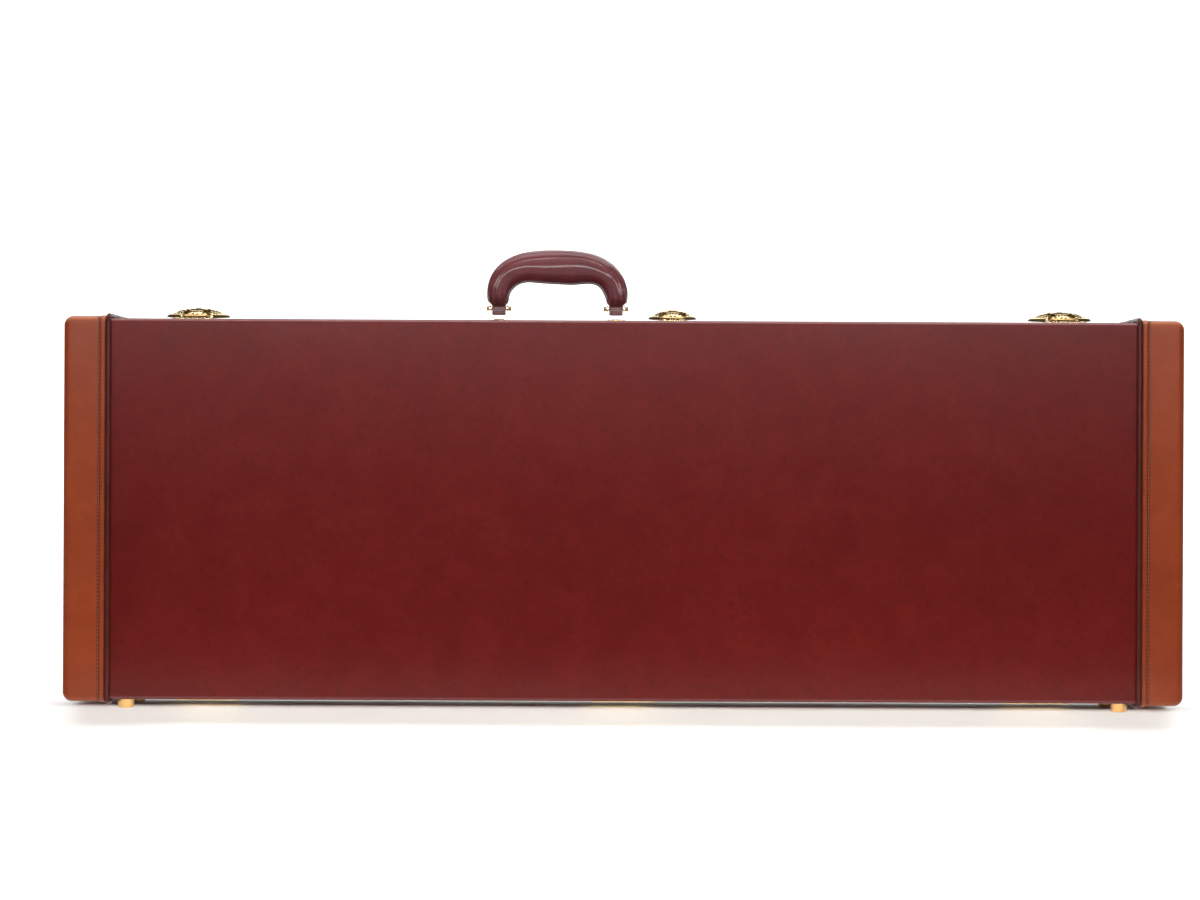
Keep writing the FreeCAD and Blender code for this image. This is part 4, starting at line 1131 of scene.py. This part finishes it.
def lever(side):
    a, b = mmbox("latch_lever_" + side)
    xc, hx = (a[0] + b[0]) / 2.0, (b[0] - a[0]) / 2.0
    yc, hy, zb, H = 4.0, 18.0, T + 3.4, 9.6
    yfr = a[1]
    lock = 5.0 if side == "middle" else None
    # columns, with the bail's slots between exact columns
    marks = [0.0, 4.6, 6.3, 9.4, 13.1, hx * 0.72, hx * 0.9, hx - 0.02]
    xs = [0.0]
    for m0, m1 in zip(marks, marks[1:]):
        n = max(int(round((m1 - m0) / 0.33)), 2)
        xs += list(np.linspace(m0, m1, n + 1)[1:])
    # the tips need finer columns, because the edge turns there
    xs = [x for x in xs if x < hx * 0.9] + list(
        hx * np.sin(np.linspace(math.asin(0.9), math.pi / 2 - 0.02, 14)))
    xs = np.array(sorted(set(np.round(xs, 5))))
    xs = np.concatenate([-xs[:0:-1], xs])
    half = hy * np.sqrt(np.clip(1 - (xs / hx) ** 2, 0, 1))
    yf = np.maximum(yc - half, yfr)
    yb = yc + half
    ysl = 2.3
    ym = np.clip(np.full(len(xs), ysl), yf + 0.05 * (yb - yf), yb - 0.05 * (yb - yf))
    nf, nb = 34, 52
    tb = np.sin(np.linspace(0, math.pi / 2, nb + 1))        # denser at the edge
    tf = np.linspace(0, 1, nf + 1)
    cut_front = yfr > (yc - half) + 0.3
    Y = np.zeros((len(xs), nf + nb + 1))
    for i in range(len(xs)):
        if cut_front[i]:
            fr = yf[i] + (ym[i] - yf[i]) * tf
        else:
            fr = yf[i] + (ym[i] - yf[i]) * (1 - np.sin((1 - tf) * math.pi / 2))
        Y[i, :nf + 1] = fr
        Y[i, nf:] = ym[i] + (yb[i] - ym[i]) * tb
    X = np.repeat(xs[:, None], Y.shape[1], 1)
    rho2 = np.clip((X / hx) ** 2 + ((Y - yc) / hy) ** 2, 0, 1)
    m2 = (X / (hx * 0.78)) ** 2 + ((Y - yc) / (hy * 1.02)) ** 2
    low = 0.50 * H * np.sqrt(1 - rho2)
    main = H * 0.86 * np.sqrt(np.clip(1 - m2, 0, 1)) ** 0.9
    base = np.maximum(low, main)
    soft = 0.9
    base = 0.5 * (low + main + np.sqrt((low - main) ** 2 + soft ** 2)) - 0.25 * soft
    base = np.minimum(base, H * np.sqrt(1 - rho2) + 0.15)
    R = ornament(X, Y - yc, hx, hy, lock)
    fade = np.clip((1 - np.sqrt(rho2)) / 0.05, 0, 1)
    Z = zb + base + R * 1.50 * fade
    top = np.stack([xc + X, Y, Z], 2)
    # front wall below the front edge, fluted between two ridges
    z_low = T + 4.6
    NW = 11
    rows, rwall = [], []
    for q in np.linspace(0, 1, NW):
        z0 = np.where(cut_front, z_low + (Z[:, 0] - 0.3 - z_low) * q, Z[:, 0])
        z0 = np.minimum(z0, Z[:, 0])
        lean = xs + 1.6 * np.sin(q * 3.0) * np.sign(xs)
        r = np.abs(np.cos(math.pi * lean / 2.7)) ** 0.8
        ridge = max(math.exp(-((q - 0.04) / 0.10) ** 2),
                    math.exp(-((q - 0.97) / 0.13) ** 2))
        r = np.maximum(r, ridge)
        rows.append(np.stack([xc + xs, Y[:, 0] + np.where(
            cut_front, 0.42 * (1 - r), 0.0), z0], 1))
        rwall.append(r)
    top = np.concatenate([np.stack(rows, 1), top], 1)
    Rf = np.concatenate([np.stack(rwall, 1), R], 1)
    # underside, 1.2 mm in
    th = 1.2
    inner = top.copy()
    inner[:, NW:, 0] = xc + X * (1 - th / hx)
    inner[:, NW:, 1] = np.clip(yc + (Y - yc) * (1 - th / hy), yfr + th, None)
    inner[:, NW:, 2] = zb + np.maximum(base - th, 0.0) * 0.97
    inner[:, :NW, 0] = xc + xs[:, None] * (1 - th / hx)
    inner[:, :NW, 1] = np.where(cut_front, yfr + th, inner[:, NW, 1])[:, None]
    zi = np.where(cut_front, z_low, inner[:, NW, 2])
    inner[:, :NW, 2] = zi[:, None] + (inner[:, NW, 2] - zi)[:, None] \
        * np.linspace(0, 1, NW)[None]
    keep_cell = np.ones((len(xs) - 1, top.shape[1] - 1), bool)
    xmid = np.abs((xs[1:] + xs[:-1]) / 2.0)
    ins = (xmid > 9.4) & (xmid < 13.1)
    keep_cell[ins, :NW + nf] = False
    # notches in the front wall, beside the ears
    ear = (xmid > 6.3) & (xmid < 9.4)
    jn = NW + int(np.argmin(np.abs(Y[np.argmin(np.abs(xs - 8.0))] - (-7.6))))
    keep_cell[ear, :jn] = False
    if lock is not None:
        # bore of the key cylinder
        cm = (top[1:, 1:, :] + top[:-1, :-1, :]) / 2.0
        rr = np.hypot(cm[:, :, 0] - xc, cm[:, :, 1] - 9.0)
        keep_cell &= rr > 3.95
    v, f, used = grid_solid(top, inner, keep_cell)
    rel = np.concatenate([Rf.reshape(-1), np.full(Rf.size, 0.62)])[used]
    ob = make("cast_lever_" + side, v, f, M_BRASS, "latch_lever_" + side,
              replaces=["latch_lever_" + side],
              attrs={"relief": rel})
    merge(ob, 0.00001)
    # hinge flanges and the lug that holds the bail
    def under(y, x=5.3):
        i = np.argmin(np.abs(xs - x))
        j = np.argmin(np.abs(Y[i] - y)) + NW
        return inner[i, j, 2] + 0.5
    for s, tag in ((-1, "a"), (1, "b")):
        lo, hi = sorted((xc + s * 4.6, xc + s * 6.1))
        y0, y1 = yfr + 0.7, PIV[0] + 2.4
        out = circle(PIV, 2.4, 180, 360, 16, False) + [
            (y1, under(y1)), ((y0 + y1) / 2, under((y0 + y1) / 2)),
            (y0 + 0.6, under(y0 + 0.6))]
        flat_part("lever_flange_%s_%s" % (side, tag), out,
                  [circle(PIV, 1.46)], lo, hi, M_BRASSP, "latch_lever_" + side)
    c = (0.0, T + 3.8)
    out = circle(c, 2.1, 180, 360, 16, False) + [(2.1, under(2.1, 0)), (-2.1, under(-2.1, 0))]
    flat_part("bail_lug_" + side, out, [circle(c, 1.26)], xc - 5.4, xc + 5.4,
              M_BRASSP, "latch_lever_" + side)


def rrect(t, hx, hy, r):
    """Point on a rounded rectangle's outline at fraction t, and its length."""
    per = [(hx - r) * 2, r * math.pi / 2, (hy - r) * 2, r * math.pi / 2] * 2
    L = sum(per)
    out = []
    for x in t:
        d = (x % 1.0) * L
        k = 0
        while d > per[k] and k < 7:
            d -= per[k]
            k += 1
        q = [(-hx + r + d, -hy), None, (hx, -hy + r + d), None,
             (hx - r - d, hy), None, (-hx, hy - r - d), None][k]
        if q is None:
            cx, cy, a0 = {1: (hx - r, -hy + r, -90), 3: (hx - r, hy - r, 0),
                          5: (-hx + r, hy - r, 90), 7: (-hx + r, -hy + r, 180)}[k]
            a = math.radians(a0) + d / max(r, 1e-6)
            q = (cx + r * math.cos(a), cy + r * math.sin(a))
        out.append(q)
    return np.array(out), L


def plate(name, cx, cy, hx, hy, r, thick, node, body, scroll_seed=0):
    """Thin cast plate with a beaded border, a fluted edge and fine scrolls."""
    nt = 260
    t = np.linspace(0, 1, nt, endpoint=False)
    edge, L = rrect(t, hx, hy, r)
    nb = int(L / 2.2)
    fl = 0.22 * np.cos(2 * math.pi * nb * t)
    d = edge / np.maximum(np.linalg.norm(edge, axis=1, keepdims=True), 1e-6)
    rhos = np.concatenate([np.linspace(0.02, 0.6, 10), np.linspace(0.6, 0.985, 34)[1:]])
    top, rel = [], []
    for q in rhos:
        p = edge * q
        dist = np.linalg.norm(edge, axis=1) * (1 - q)
        bead = np.abs(((t * nb) % 1.0) - 0.5) * 2
        R = np.sqrt(np.clip(1 - ((dist - 1.7) / 1.05) ** 2 - (bead * 0.95) ** 2, 0, 1)) * 0.8
        R = np.maximum(R, 0.8 * np.exp(-((dist - 3.4) / 0.45) ** 2))
        wave = np.sin(p[:, 0] * 0.9 + 1.7 * np.sin(p[:, 1] * 0.7)) \
            * np.cos(p[:, 1] * 0.85 + 1.3 * np.sin(p[:, 0] * 0.55))
        R = np.maximum(R, np.clip(np.abs(wave) * 1.1 - 0.25, 0, 0.7) * (dist > 4.0))
        top.append(np.stack([cx + p[:, 0], cy + p[:, 1],
                             np.full(nt, T + thick - 0.22) + 0.45 * R], 1))
        rel.append(R)
    e1 = edge + d * fl[:, None] * 0.5
    top.append(np.stack([cx + e1[:, 0], cy + e1[:, 1], np.full(nt, T + thick - 0.34)], 1))
    rel.append(np.full(nt, 0.9))
    top.append(np.stack([cx + e1[:, 0], cy + e1[:, 1], np.full(nt, T + 0.25)], 1))
    rel.append(np.full(nt, 0.4))
    e2 = edge * 0.985
    top.append(np.stack([cx + e2[:, 0], cy + e2[:, 1], np.full(nt, T + 0.03)], 1))
    rel.append(np.full(nt, 0.2))
    v, f = loops_solid(top)
    return make(name, v, f, M_BRASS, body, replaces=[node] if node else (),
                attrs={"relief": np.concatenate(rel)})


for side in ("left", "middle", "right"):
    lever(side)
    a, b = mmbox("latch_base_" + side)
    xc, yc = (a[0] + b[0]) / 2, (a[1] + b[1]) / 2
    plate("latch_plate_" + side, xc, yc, (b[0] - a[0]) / 2 - 0.15,
          (b[1] - a[1]) / 2 - 0.15, 15.0, 1.2, "latch_base_" + side, "case_body")
    for s, tag in ((-1, "a"), (1, "b")):
        lo, hi = sorted((xc + s * 6.6, xc + s * 8.1))
        out = circle(PIV, 2.4, 0, 180, 18, False) + [
            (PIV[0] - 2.4, T + 0.6), (PIV[0] + 2.4, T + 0.6)]
        flat_part("latch_ear_%s_%s" % (side, tag), out, [circle(PIV, 1.42)],
                  lo, hi, M_BRASSP, "case_body")
    a, b = mmbox("latch_keeper_" + side)
    xc, yc = (a[0] + b[0]) / 2, (a[1] + b[1]) / 2
    plate("keeper_plate_" + side, xc, yc, (b[0] - a[0]) / 2 - 0.15,
          (b[1] - a[1]) / 2 - 0.15, 8.0, 1.2, "latch_keeper_" + side, "lid")
    # hook: a curved tongue out of the plate, a fluted shell on its face
    xs2 = np.linspace(-7.0, 7.0, 71)
    hgt = 6.8 - 1.3 * (np.abs(xs2) / 7.0) ** 3
    y0, y1 = -23.45, -21.95
    loops, rel = [], []
    for x, h in zip(xs2, hgt):
        lp, rr = [], []
        for q in np.linspace(0, 1, 13):
            zz = 0.7 + (h - 1.5) * q
            th = math.atan2(x, zz + 1.2)
            r = 0.5 + 0.5 * math.cos(11 * th)
            edge = min(1.0, (7.0 - abs(x)) / 0.7, (h - zz) / 1.1)
            r = max(r * min(1.0, math.hypot(x, zz) / 2.0), 1.0 - edge)
            rr.append(r)
            lp.append((xc + x, y0 + 0.10 + 0.38 * (1 - r)
                       + 0.30 * (x / 7.0) ** 2 + 0.35 * q * q, T + zz))
        for yy, zz in ((y0 + 0.80, h - 0.30), (y0 + 1.05, h),
                       (y1 - 0.15, h - 0.12), (y1 - 0.02, h - 0.6),
                       (y1, h - 1.6), (y1, 0.7)):
            lp.append((xc + x, max(yy, lp[12][1] + 0.02), T + zz))
            rr.append(0.9)
        loops.append(np.array(lp))
        rel.append(np.array(rr))
    v, f = loops_solid(loops)
    make("keeper_hook_" + side, v, f, M_BRASS, "lid",
         attrs={"relief": np.concatenate(rel)})

# =====================================================================
# inside: plush over foam
# =====================================================================

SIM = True


def rloop(hx, z0, z1, r, y, n=16, x0=None):
    """Rounded rectangle loop in the plane y, points every mm along its sides."""
    xa = -hx if x0 is None else x0
    pts = []
    r = max(r, 0.2)
    nx = max(int((hx - xa - 2 * r) / 14.0), 4)
    nz = max(int((z1 - z0 - 2 * r) / 14.0), 4)

    def arc(cx, cz, a0):
        for t in np.radians(np.linspace(a0, a0 + 90, n, endpoint=False)):
            pts.append((cx + r * math.cos(t), y, cz + r * math.sin(t)))

    def run(p, q, m):
        for t in np.linspace(0, 1, m, endpoint=False):
            pts.append((p[0] + (q[0] - p[0]) * t, y, p[1] + (q[1] - p[1]) * t))
    arc(hx - r, z0 + r, -90)
    run((hx, z0 + r), (hx, z1 - r), nz)
    arc(hx - r, z1 - r, 0)
    run((hx - r, z1), (xa + r, z1), nx)
    arc(xa + r, z1 - r, 90)
    run((xa, z1 - r), (xa, z0 + r), nz)
    arc(xa + r, z0 + r, 180)
    run((xa + r, z0), (hx - r, z0), nx)
    return np.array(pts)


def resample(loop, n):
    p = np.concatenate([loop, loop[:1]])
    s = np.concatenate([[0], np.cumsum(np.linalg.norm(np.diff(p, axis=0), axis=1))])
    t = np.linspace(0, s[-1], n, endpoint=False)
    return np.stack([np.interp(t, s, p[:, k]) for k in range(3)], 1)


def tray(name, box, wall, floor, mouth, mat, body, node, rin=9.0,
         rout=1.5, soft=1.2, sag=0.0):
    """Open tray: box (x0, x1, z0, z1), y of its floor's outside and of its
    mouth, which faces -Y or +Y."""
    x0, x1, z0, z1 = box
    yo, ym = floor[0], mouth
    s = 1.0 if ym > yo else -1.0
    yi = yo + s * floor[1]
    N = 420
    L = []

    def lp(g, r, y):
        return resample(rloop(x1 - g, z0 + g, z1 - g, r, y, x0=x0 + g), N)
    for k in (0.02, 0.3, 0.6, 0.85):
        c = lp(0.0, rout, yo)
        m = np.array([(x0 + x1) / 2, yo, (z0 + z1) / 2])
        L.append(m + (c - m) * k)
    L.append(lp(0.35, rout, yo))
    L.append(lp(0.0, rout, yo + s * 0.35))
    L.append(lp(0.0, rout, ym - s * soft))
    for a in (30, 60, 90, 120, 150):
        t = math.radians(a)
        g = wall / 2 - wall / 2 * math.cos(t)
        L.append(lp(g, rout + (rin * 0.25) * a / 180, ym - s * soft * (1 - math.sin(t))))
    L.append(lp(wall, rin * 0.5, ym - s * soft * 1.5))
    steps = np.linspace(0, 1, 7)[1:]
    rr = min(rin, abs(yi - ym) * 0.45)
    for k in steps:
        L.append(lp(wall, rin * (0.5 + 0.5 * k), ym - s * soft * 1.5
                    + (yi + s * rr - (ym - s * soft * 1.5)) * k))
    for a in (22, 45, 68, 90):
        t = math.radians(a)
        L.append(lp(wall + rr * (1 - math.cos(t)), rin, yi + s * rr * (1 - math.sin(t))))
    base = L[-1]
    m = np.array([(x0 + x1) / 2, yi, (z0 + z1) / 2])
    for k in (0.92, 0.82, 0.68, 0.5, 0.3, 0.12, 0.01):
        L.append(m + (base - m) * k)
    v, f = loops_solid(L)
    v = np.array(v)
    # the cloth isn't dead flat
    w = smooth_noise((v[:, 0], v[:, 2]), 60.0, 51 + len(name)) * 0.35
    inner = np.arange(len(v)) > (len(L) - 18) * N
    v[:, 1] += np.where(inner, s * (w - 0.4) * -1.0, 0.0) * 0.6
    return make(name, v, f, mat, body, replaces=[node])


def cadmesh(name):
    """World-space copy of a CAD node's mesh as a new object."""
    src = nodes[name]
    me = src.data.copy()
    me.transform(src.matrix_world)
    me.materials.clear()
    ob = bpy.data.objects.new(name + "_soft", me)
    sc.collection.objects.link(ob)
    return ob


def apply_all(ob):
    bpy.context.view_layer.update()
    dg = bpy.context.evaluated_depsgraph_get()
    me = bpy.data.meshes.new_from_object(ob.evaluated_get(dg))
    old = ob.data
    ob.modifiers.clear()
    ob.data = me
    bpy.data.meshes.remove(old)
    return ob


def coords(me):
    v = np.empty(len(me.vertices) * 3)
    me.vertices.foreach_get("co", v)
    return v.reshape(-1, 3)


def smooth_mesh(ob, rounds, factor=0.5):
    md = ob.modifiers.new("s", "SMOOTH")
    md.iterations = rounds
    md.factor = factor
    return apply_all(ob)


def soften(node, name, mat, body, voxel=4.5, rounds=8, shrink=0.6,
           puff=0.0, cap=5.0, subdiv=1, flat_back=None, keep_in=True,
           noise=0.0):
    """A pad from its CAD solid: remeshed, rounded, and filled by simulation."""
    lo, hi = mmbox(node)
    ob = cadmesh(node)
    ob.name = name
    if shrink:
        v = coords(ob.data) * 1000.0
        c = (lo + hi) / 2
        half = (hi - lo) / 2
        v = c + (v - c) * (1 - shrink / half)
        ob.data.vertices.foreach_set("co", (v * 0.001).reshape(-1))
        ob.data.update()
    md = ob.modifiers.new("r", "REMESH")
    md.mode = "VOXEL"
    md.voxel_size = voxel * 0.001
    apply_all(ob)
    smooth_mesh(ob, rounds)
    if puff and SIM:
        start = coords(ob.data).copy()
        cl = ob.modifiers.new("cloth", "CLOTH")
        st = cl.settings
        st.quality = 6
        st.mass = 0.25
        st.use_pressure = True
        st.uniform_pressure_force = puff
        st.effector_weights.gravity = 0.0
        st.tension_stiffness = 12
        st.compression_stiffness = 12
        st.shear_stiffness = 6
        st.bending_stiffness = 0.6
        cl.point_cache.frame_start = 1
        cl.point_cache.frame_end = 20
        # the glued back doesn't move
        if flat_back is not None:
            vg = ob.vertex_groups.new(name="glued")
            ax, val, sgn = flat_back
            idx = [i for i in range(len(start))
                   if (start[i, ax] * 1000 - val) * sgn < voxel * 0.9]
            vg.add(idx, 1.0, "REPLACE")
            st.vertex_group_mass = "glued"
        for fr in range(1, 21):
            sc.frame_set(fr)
        dg = bpy.context.evaluated_depsgraph_get()
        me = bpy.data.meshes.new_from_object(ob.evaluated_get(dg))
        got = coords(me)
        d = got - start
        ln = np.linalg.norm(d, axis=1, keepdims=True) * 1000
        d = d * np.minimum(1.0, cap / np.maximum(ln, 1e-6))
        new = start + d
        ob.modifiers.clear()
        ob.data.vertices.foreach_set("co", new.reshape(-1))
        bpy.data.meshes.remove(me)
        sc.frame_set(1)
        smooth_mesh(ob, 2)
    v = coords(ob.data) * 1000.0
    if noise:
        w = smooth_noise((v[:, 0] + 0.4 * v[:, 1], v[:, 2]), 38.0, len(name) * 7)
        ob.data.update()
        nr = np.empty(len(v) * 3)
        ob.data.vertices.foreach_get("normal", nr)
        v = v + nr.reshape(-1, 3) * (w[:, None] * noise)
    if keep_in:
        v = np.clip(v, lo + 0.05, hi - 0.05)
    ob.data.vertices.foreach_set("co", (v * 0.001).reshape(-1))
    ob.data.update()
    if subdiv:
        md = ob.modifiers.new("sub", "SUBSURF")
        md.levels = md.render_levels = subdiv
        apply_all(ob)
    ob.data.materials.clear()
    ob.data.materials.append(mat)
    ob.data.polygons.foreach_set("use_smooth", [True] * len(ob.data.polygons))
    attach(ob, body)
    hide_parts(node)
    return ob


a, b = mmbox("body_lining")
tray("plush_body_lining", (a[0], b[0], a[2], b[2]), 2.5, (b[1], 4.0), a[1],
     M_PLUSH, "case_body", "body_lining")
a, b = mmbox("lid_lining")
tray("plush_lid_lining", (a[0], b[0], a[2], b[2]), 2.5, (a[1], 4.0), b[1],
     M_PLUSH, "lid", "lid_lining")
a, b = mmbox("accessory_box")
tray("accessory_compartment", (a[0], b[0], a[2], b[2]), 3.0, (b[1], 2.0), a[1],
     M_PLUSH, "case_body", "accessory_box", rin=3.0, soft=1.4)

soften("guitar_bed", "plush_guitar_bed", M_PLUSH2, "case_body",
       voxel=4.5, rounds=7, shrink=0.0, noise=0.5)
soften("neck_cradle", "plush_neck_cradle", M_PLUSH2, "case_body",
       voxel=3.0, rounds=6, shrink=1.0, puff=3.0, cap=2.5,
       flat_back=(1, mmbox("neck_cradle")[1][1], -1), noise=0.2)
soften("neck_side_pad", "plush_neck_pad", M_PLUSH2, "case_body",
       voxel=4.5, rounds=8, shrink=1.5, puff=3.5, cap=5.0,
       flat_back=(1, mmbox("neck_side_pad")[1][1], -1), noise=0.3)
soften("headstock_pad", "plush_headstock_pad", M_PLUSH2, "case_body",
       voxel=4.0, rounds=8, shrink=1.5, puff=3.5, cap=5.0,
       flat_back=(1, mmbox("headstock_pad")[1][1], -1), noise=0.3)
soften("lid_pad", "plush_lid_pad", M_PLUSH2, "lid",
       voxel=3.2, rounds=5, shrink=0.8, puff=3.5, cap=5.0,
       flat_back=(1, mmbox("lid_pad")[0][1], 1), noise=0.25)


def board(name, node, mat, body, r=1.3, crown=0.5, n=40, attrs=None):
    """Covered board, thin along Y, with soft edges and a slightly full face."""
    lo, hi = mmbox(node)
    lo, hi = lo + 0.05, hi - 0.05
    c = (lo + hi) / 2
    N = 300
    L = []
    y0, y1 = lo[1], hi[1]
    h = (y1 - y0) / 2

    def lp(g, rr, y):
        return resample(rloop(hi[0] - g, lo[2] + g, hi[2] - g, rr, y,
                              x0=lo[0] + g), N)
    ed = min(h, r)
    ring = []
    for k in (0.01, 0.2, 0.4, 0.6, 0.8, 0.93):
        q = lp(ed, 2.0, y0 + crown * (k ** 4))
        m = np.array([c[0], 0, c[2]])
        p = q.copy()
        p[:, 0] = m[0] + (q[:, 0] - m[0]) * k
        p[:, 2] = m[2] + (q[:, 2] - m[2]) * k
        ring.append(p)
    L += ring
    for a in np.linspace(0, 180, 9):
        t = math.radians(a)
        L.append(lp(ed * (1 - math.sin(t)), 2.2, (y0 + y1) / 2
                    - (h - (crown if a < 90 else 0) * abs(math.cos(t))) * math.cos(t)))
    for k in (0.9, 0.6, 0.3, 0.01):
        q = lp(ed, 2.0, y1)
        p = q.copy()
        p[:, 0] = c[0] + (q[:, 0] - c[0]) * k
        p[:, 2] = c[2] + (q[:, 2] - c[2]) * k
        L.append(p)
    v, f = loops_solid(L)
    return make(name, v, f, mat, body, replaces=[node], attrs=attrs)


ob = board("accessory_cover", "accessory_lid", M_PLUSH, "accessory_flap")
# pull tab: a doubled leather strip with a sewn box
lo, hi = mmbox("accessory_pull_tab")
c = (lo + hi) / 2
n = 40


def tab_outline(g, y):
    pts = []
    hx_, z0, z1, r = (hi[0] - lo[0]) / 2 - g, lo[2] + g, hi[2] - g, 6.0 - g
    for t in np.linspace(0, 1, 12, endpoint=False):
        pts.append((c[0] - hx_ + 2 * hx_ * t, y, z0))
    for t in np.linspace(0, 1, 14, endpoint=False):
        pts.append((c[0] + hx_, y, z0 + (z1 - r - z0) * t))
    for t in np.radians(np.linspace(0, 90, 9, endpoint=False)):
        pts.append((c[0] + hx_ - r + r * math.cos(t), y, z1 - r + r * math.sin(t)))
    for t in np.linspace(0, 1, 6, endpoint=False):
        pts.append((c[0] + hx_ - r - 2 * (hx_ - r) * t, y, z1))
    for t in np.radians(np.linspace(90, 180, 9, endpoint=False)):
        pts.append((c[0] - hx_ + r + r * math.cos(t), y, z1 - r + r * math.sin(t)))
    for t in np.linspace(0, 1, 14, endpoint=False):
        pts.append((c[0] - hx_, y, z1 - r - (z1 - r - z0) * t))
    return np.array(pts)


L, B = [], []
for g, y, bb in ((6.5, lo[1] + 0.05, 0.0), (3.0, lo[1] + 0.02, 0.0),
                 (1.6, lo[1] + 0.05, 0.2), (0.9, lo[1] + 0.02, 0.4),
                 (0.35, lo[1] + 0.12, 0.9), (0.0, lo[1] + 0.4, 1.0),
                 (0.0, hi[1] - 0.4, 1.0), (0.35, hi[1] - 0.1, 0.9),
                 (3.0, hi[1], 0.0), (6.5, hi[1], 0.0)):
    L.append(tab_outline(g, y))
    B.append(np.full(len(L[-1]), bb))
v, f = loops_solid(L)
make("leather_pull_tab", v, f, M_TAN, "accessory_flap",
     replaces=["accessory_pull_tab"],
     attrs={"burnish_and_painted_light": np.concatenate(B)})
xs3 = c[0] + np.array([-5.5, 5.5, 5.5, -5.5, -5.5])
zs3 = lo[2] + np.array([3.0, 3.0, 18.0, 18.0, 3.0])
stitches("pull_tab_stitching", np.stack([xs3, np.full(5, lo[1] + 0.05), zs3], 1),
         np.repeat([[0.0, -1.0, 0.0]], 5, 0), "accessory_flap", M_THREAD,
         pitch=2.2, length=1.7, r=0.3, tilt=0.0)

# =====================================================================
# finishes of the CAD parts that stay as they are
# =====================================================================


def paint(name, mat):
    o = nodes.get(name)
    if o is None:
        return
    o.data.materials.clear()
    o.data.materials.append(mat)


for name in nodes:
    if name == "handle_loops":
        paint(name, M_WIRE)
    elif name.startswith("latch_bail"):
        paint(name, M_BAIL)
    elif name == "handle_pins":
        paint(name, M_PIN)
    elif name in ("feet_lid", "feet_body"):
        paint(name, M_FOOT)
    elif name == "body_rim_lip":
        paint(name, M_LIP)
    elif name.endswith(("_rim", "_panel", "_shell")):
        paint(name, M_PLY)
    elif any(k in name for k in ("rivets", "hinge", "pins", "feet", "screws",
                                 "lock", "brackets")):
        paint(name, M_BRASSP)

# =====================================================================
# floor, light and camera
# =====================================================================


def stage():
    n = 40
    # the table's edge is under the split, so that the lid has room to swing
    low, ed, r1, r2 = -0.16, -0.004, 0.003, 0.012
    prof = [(-9.0, low)]
    prof += [(y, low) for y in np.linspace(-6, ed - r2 - 0.02, 20)]
    prof += [(ed - r2 + r2 * math.sin(t), low + r2 - r2 * math.cos(t))
             for t in np.linspace(0, math.pi / 2, 9)]
    prof += [(ed, z) for z in np.linspace(low + r2 + 0.004, -r1 - 0.002, 8)]
    prof += [(ed + r1 - r1 * math.cos(t), -r1 + r1 * math.sin(t))
             for t in np.linspace(0, math.pi / 2, 9)]
    prof += [(0.003, 0.0)] + [(y, 0.0) for y in np.linspace(0.02, 2.2, 14)]
    for t in np.linspace(0, math.pi / 2, 14)[1:]:
        prof.append((2.2 + 1.8 * math.sin(t), 1.8 - 1.8 * math.cos(t)))
    prof += [(4.0, z) for z in np.linspace(2.2, 7.0, 6)]
    v, f = [], []
    xs = np.linspace(-8, 8, 24)
    for x in xs:
        for y, z in prof:
            v.append((x * 1000, y * 1000, z * 1000))
    m = Mat("studio_floor")
    w = m.noise(3.0, 2.0, 0.5)
    m.set(Base_Color=m.ramp(w, [(0.3, (0.90, 0.895, 0.885)), (0.7, (0.93, 0.925, 0.915))]),
          Roughness=0.85)
    m.b.inputs["Specular IOR Level"].default_value = 0.1
    me = bpy.data.meshes.new("studio_floor")
    me.from_pydata((np.array(v) * 0.001).tolist(), [], quads(len(xs), len(prof)))
    me.polygons.foreach_set("use_smooth", [True] * len(me.polygons))
    me.materials.append(m.m)
    ob = bpy.data.objects.new("studio_floor", me)
    sc.collection.objects.link(ob)


stage()


def area(name, loc, target, size, power, color=(1, 1, 1)):
    la = bpy.data.lights.new(name, "AREA")
    la.shape = "RECTANGLE"
    la.size, la.size_y = size
    la.energy = power
    la.color = color
    o = bpy.data.objects.new(name, la)
    sc.collection.objects.link(o)
    o.location = loc
    d = Vector(target) - Vector(loc)
    o.rotation_euler = d.to_track_quat("-Z", "Y").to_euler()
    o.visible_camera = False
    return o


world = bpy.data.worlds.new("studio")
sc.world = world
world.use_nodes = True
bg = world.node_tree.nodes["Background"]
bg.inputs["Color"].default_value = (1.0, 1.0, 1.0, 1.0)
bg.inputs["Strength"].default_value = 0.20

area("overhead", (0.0, -0.1, 2.4), (0.0, -0.05, 0.2), (2.8, 0.9), 36.0)
area("front_strip", (0.0, -0.85, 0.485), (0.0, -0.05, 0.33), (1.7, 0.09), 8.4)
area("high_strip", (0.0, -1.15, 1.75), (0.0, 0.0, 0.42), (1.5, 0.07), 10.0)
area("side_left", (-2.4, -1.6, 1.5), (-0.3, 0.0, 0.2), (1.4, 1.4), 1.6)
area("side_right", (2.4, -1.2, 1.5), (0.3, 0.0, 0.2), (1.4, 1.4), 1.2)
area("back_fill", (0.6, 2.0, 1.9), (0.0, 0.0, 0.3), (2.2, 1.0), 12.0)
area("floor_bounce", (0.0, -0.165, 0.004), (0.0, -0.056, 0.05), (1.1, 0.03), 0.34,
     (1.0, 0.88, 0.76))
area("floor_wash", (0.0, -2.3, 1.9), (0.0, -2.1, 0.0), (4.2, 1.2), 24.0)
area("backdrop", (0.0, 1.3, 2.8), (0.0, 3.8, 0.5), (6.0, 0.8), 190.0)

cam_d = bpy.data.cameras.new("camera")
cam_d.sensor_width = 36.0
DIST = 2.8
cam_d.lens = 31.53 * DIST
cam_d.clip_end = 100.0
cam = bpy.data.objects.new("camera", cam_d)
sc.collection.objects.link(cam)
cam.location = (-0.0226, YF * 0.001 - DIST, 0.2485)
cam.rotation_euler = (math.radians(90.0), math.radians(-0.27), 0.0)
sc.camera = cam
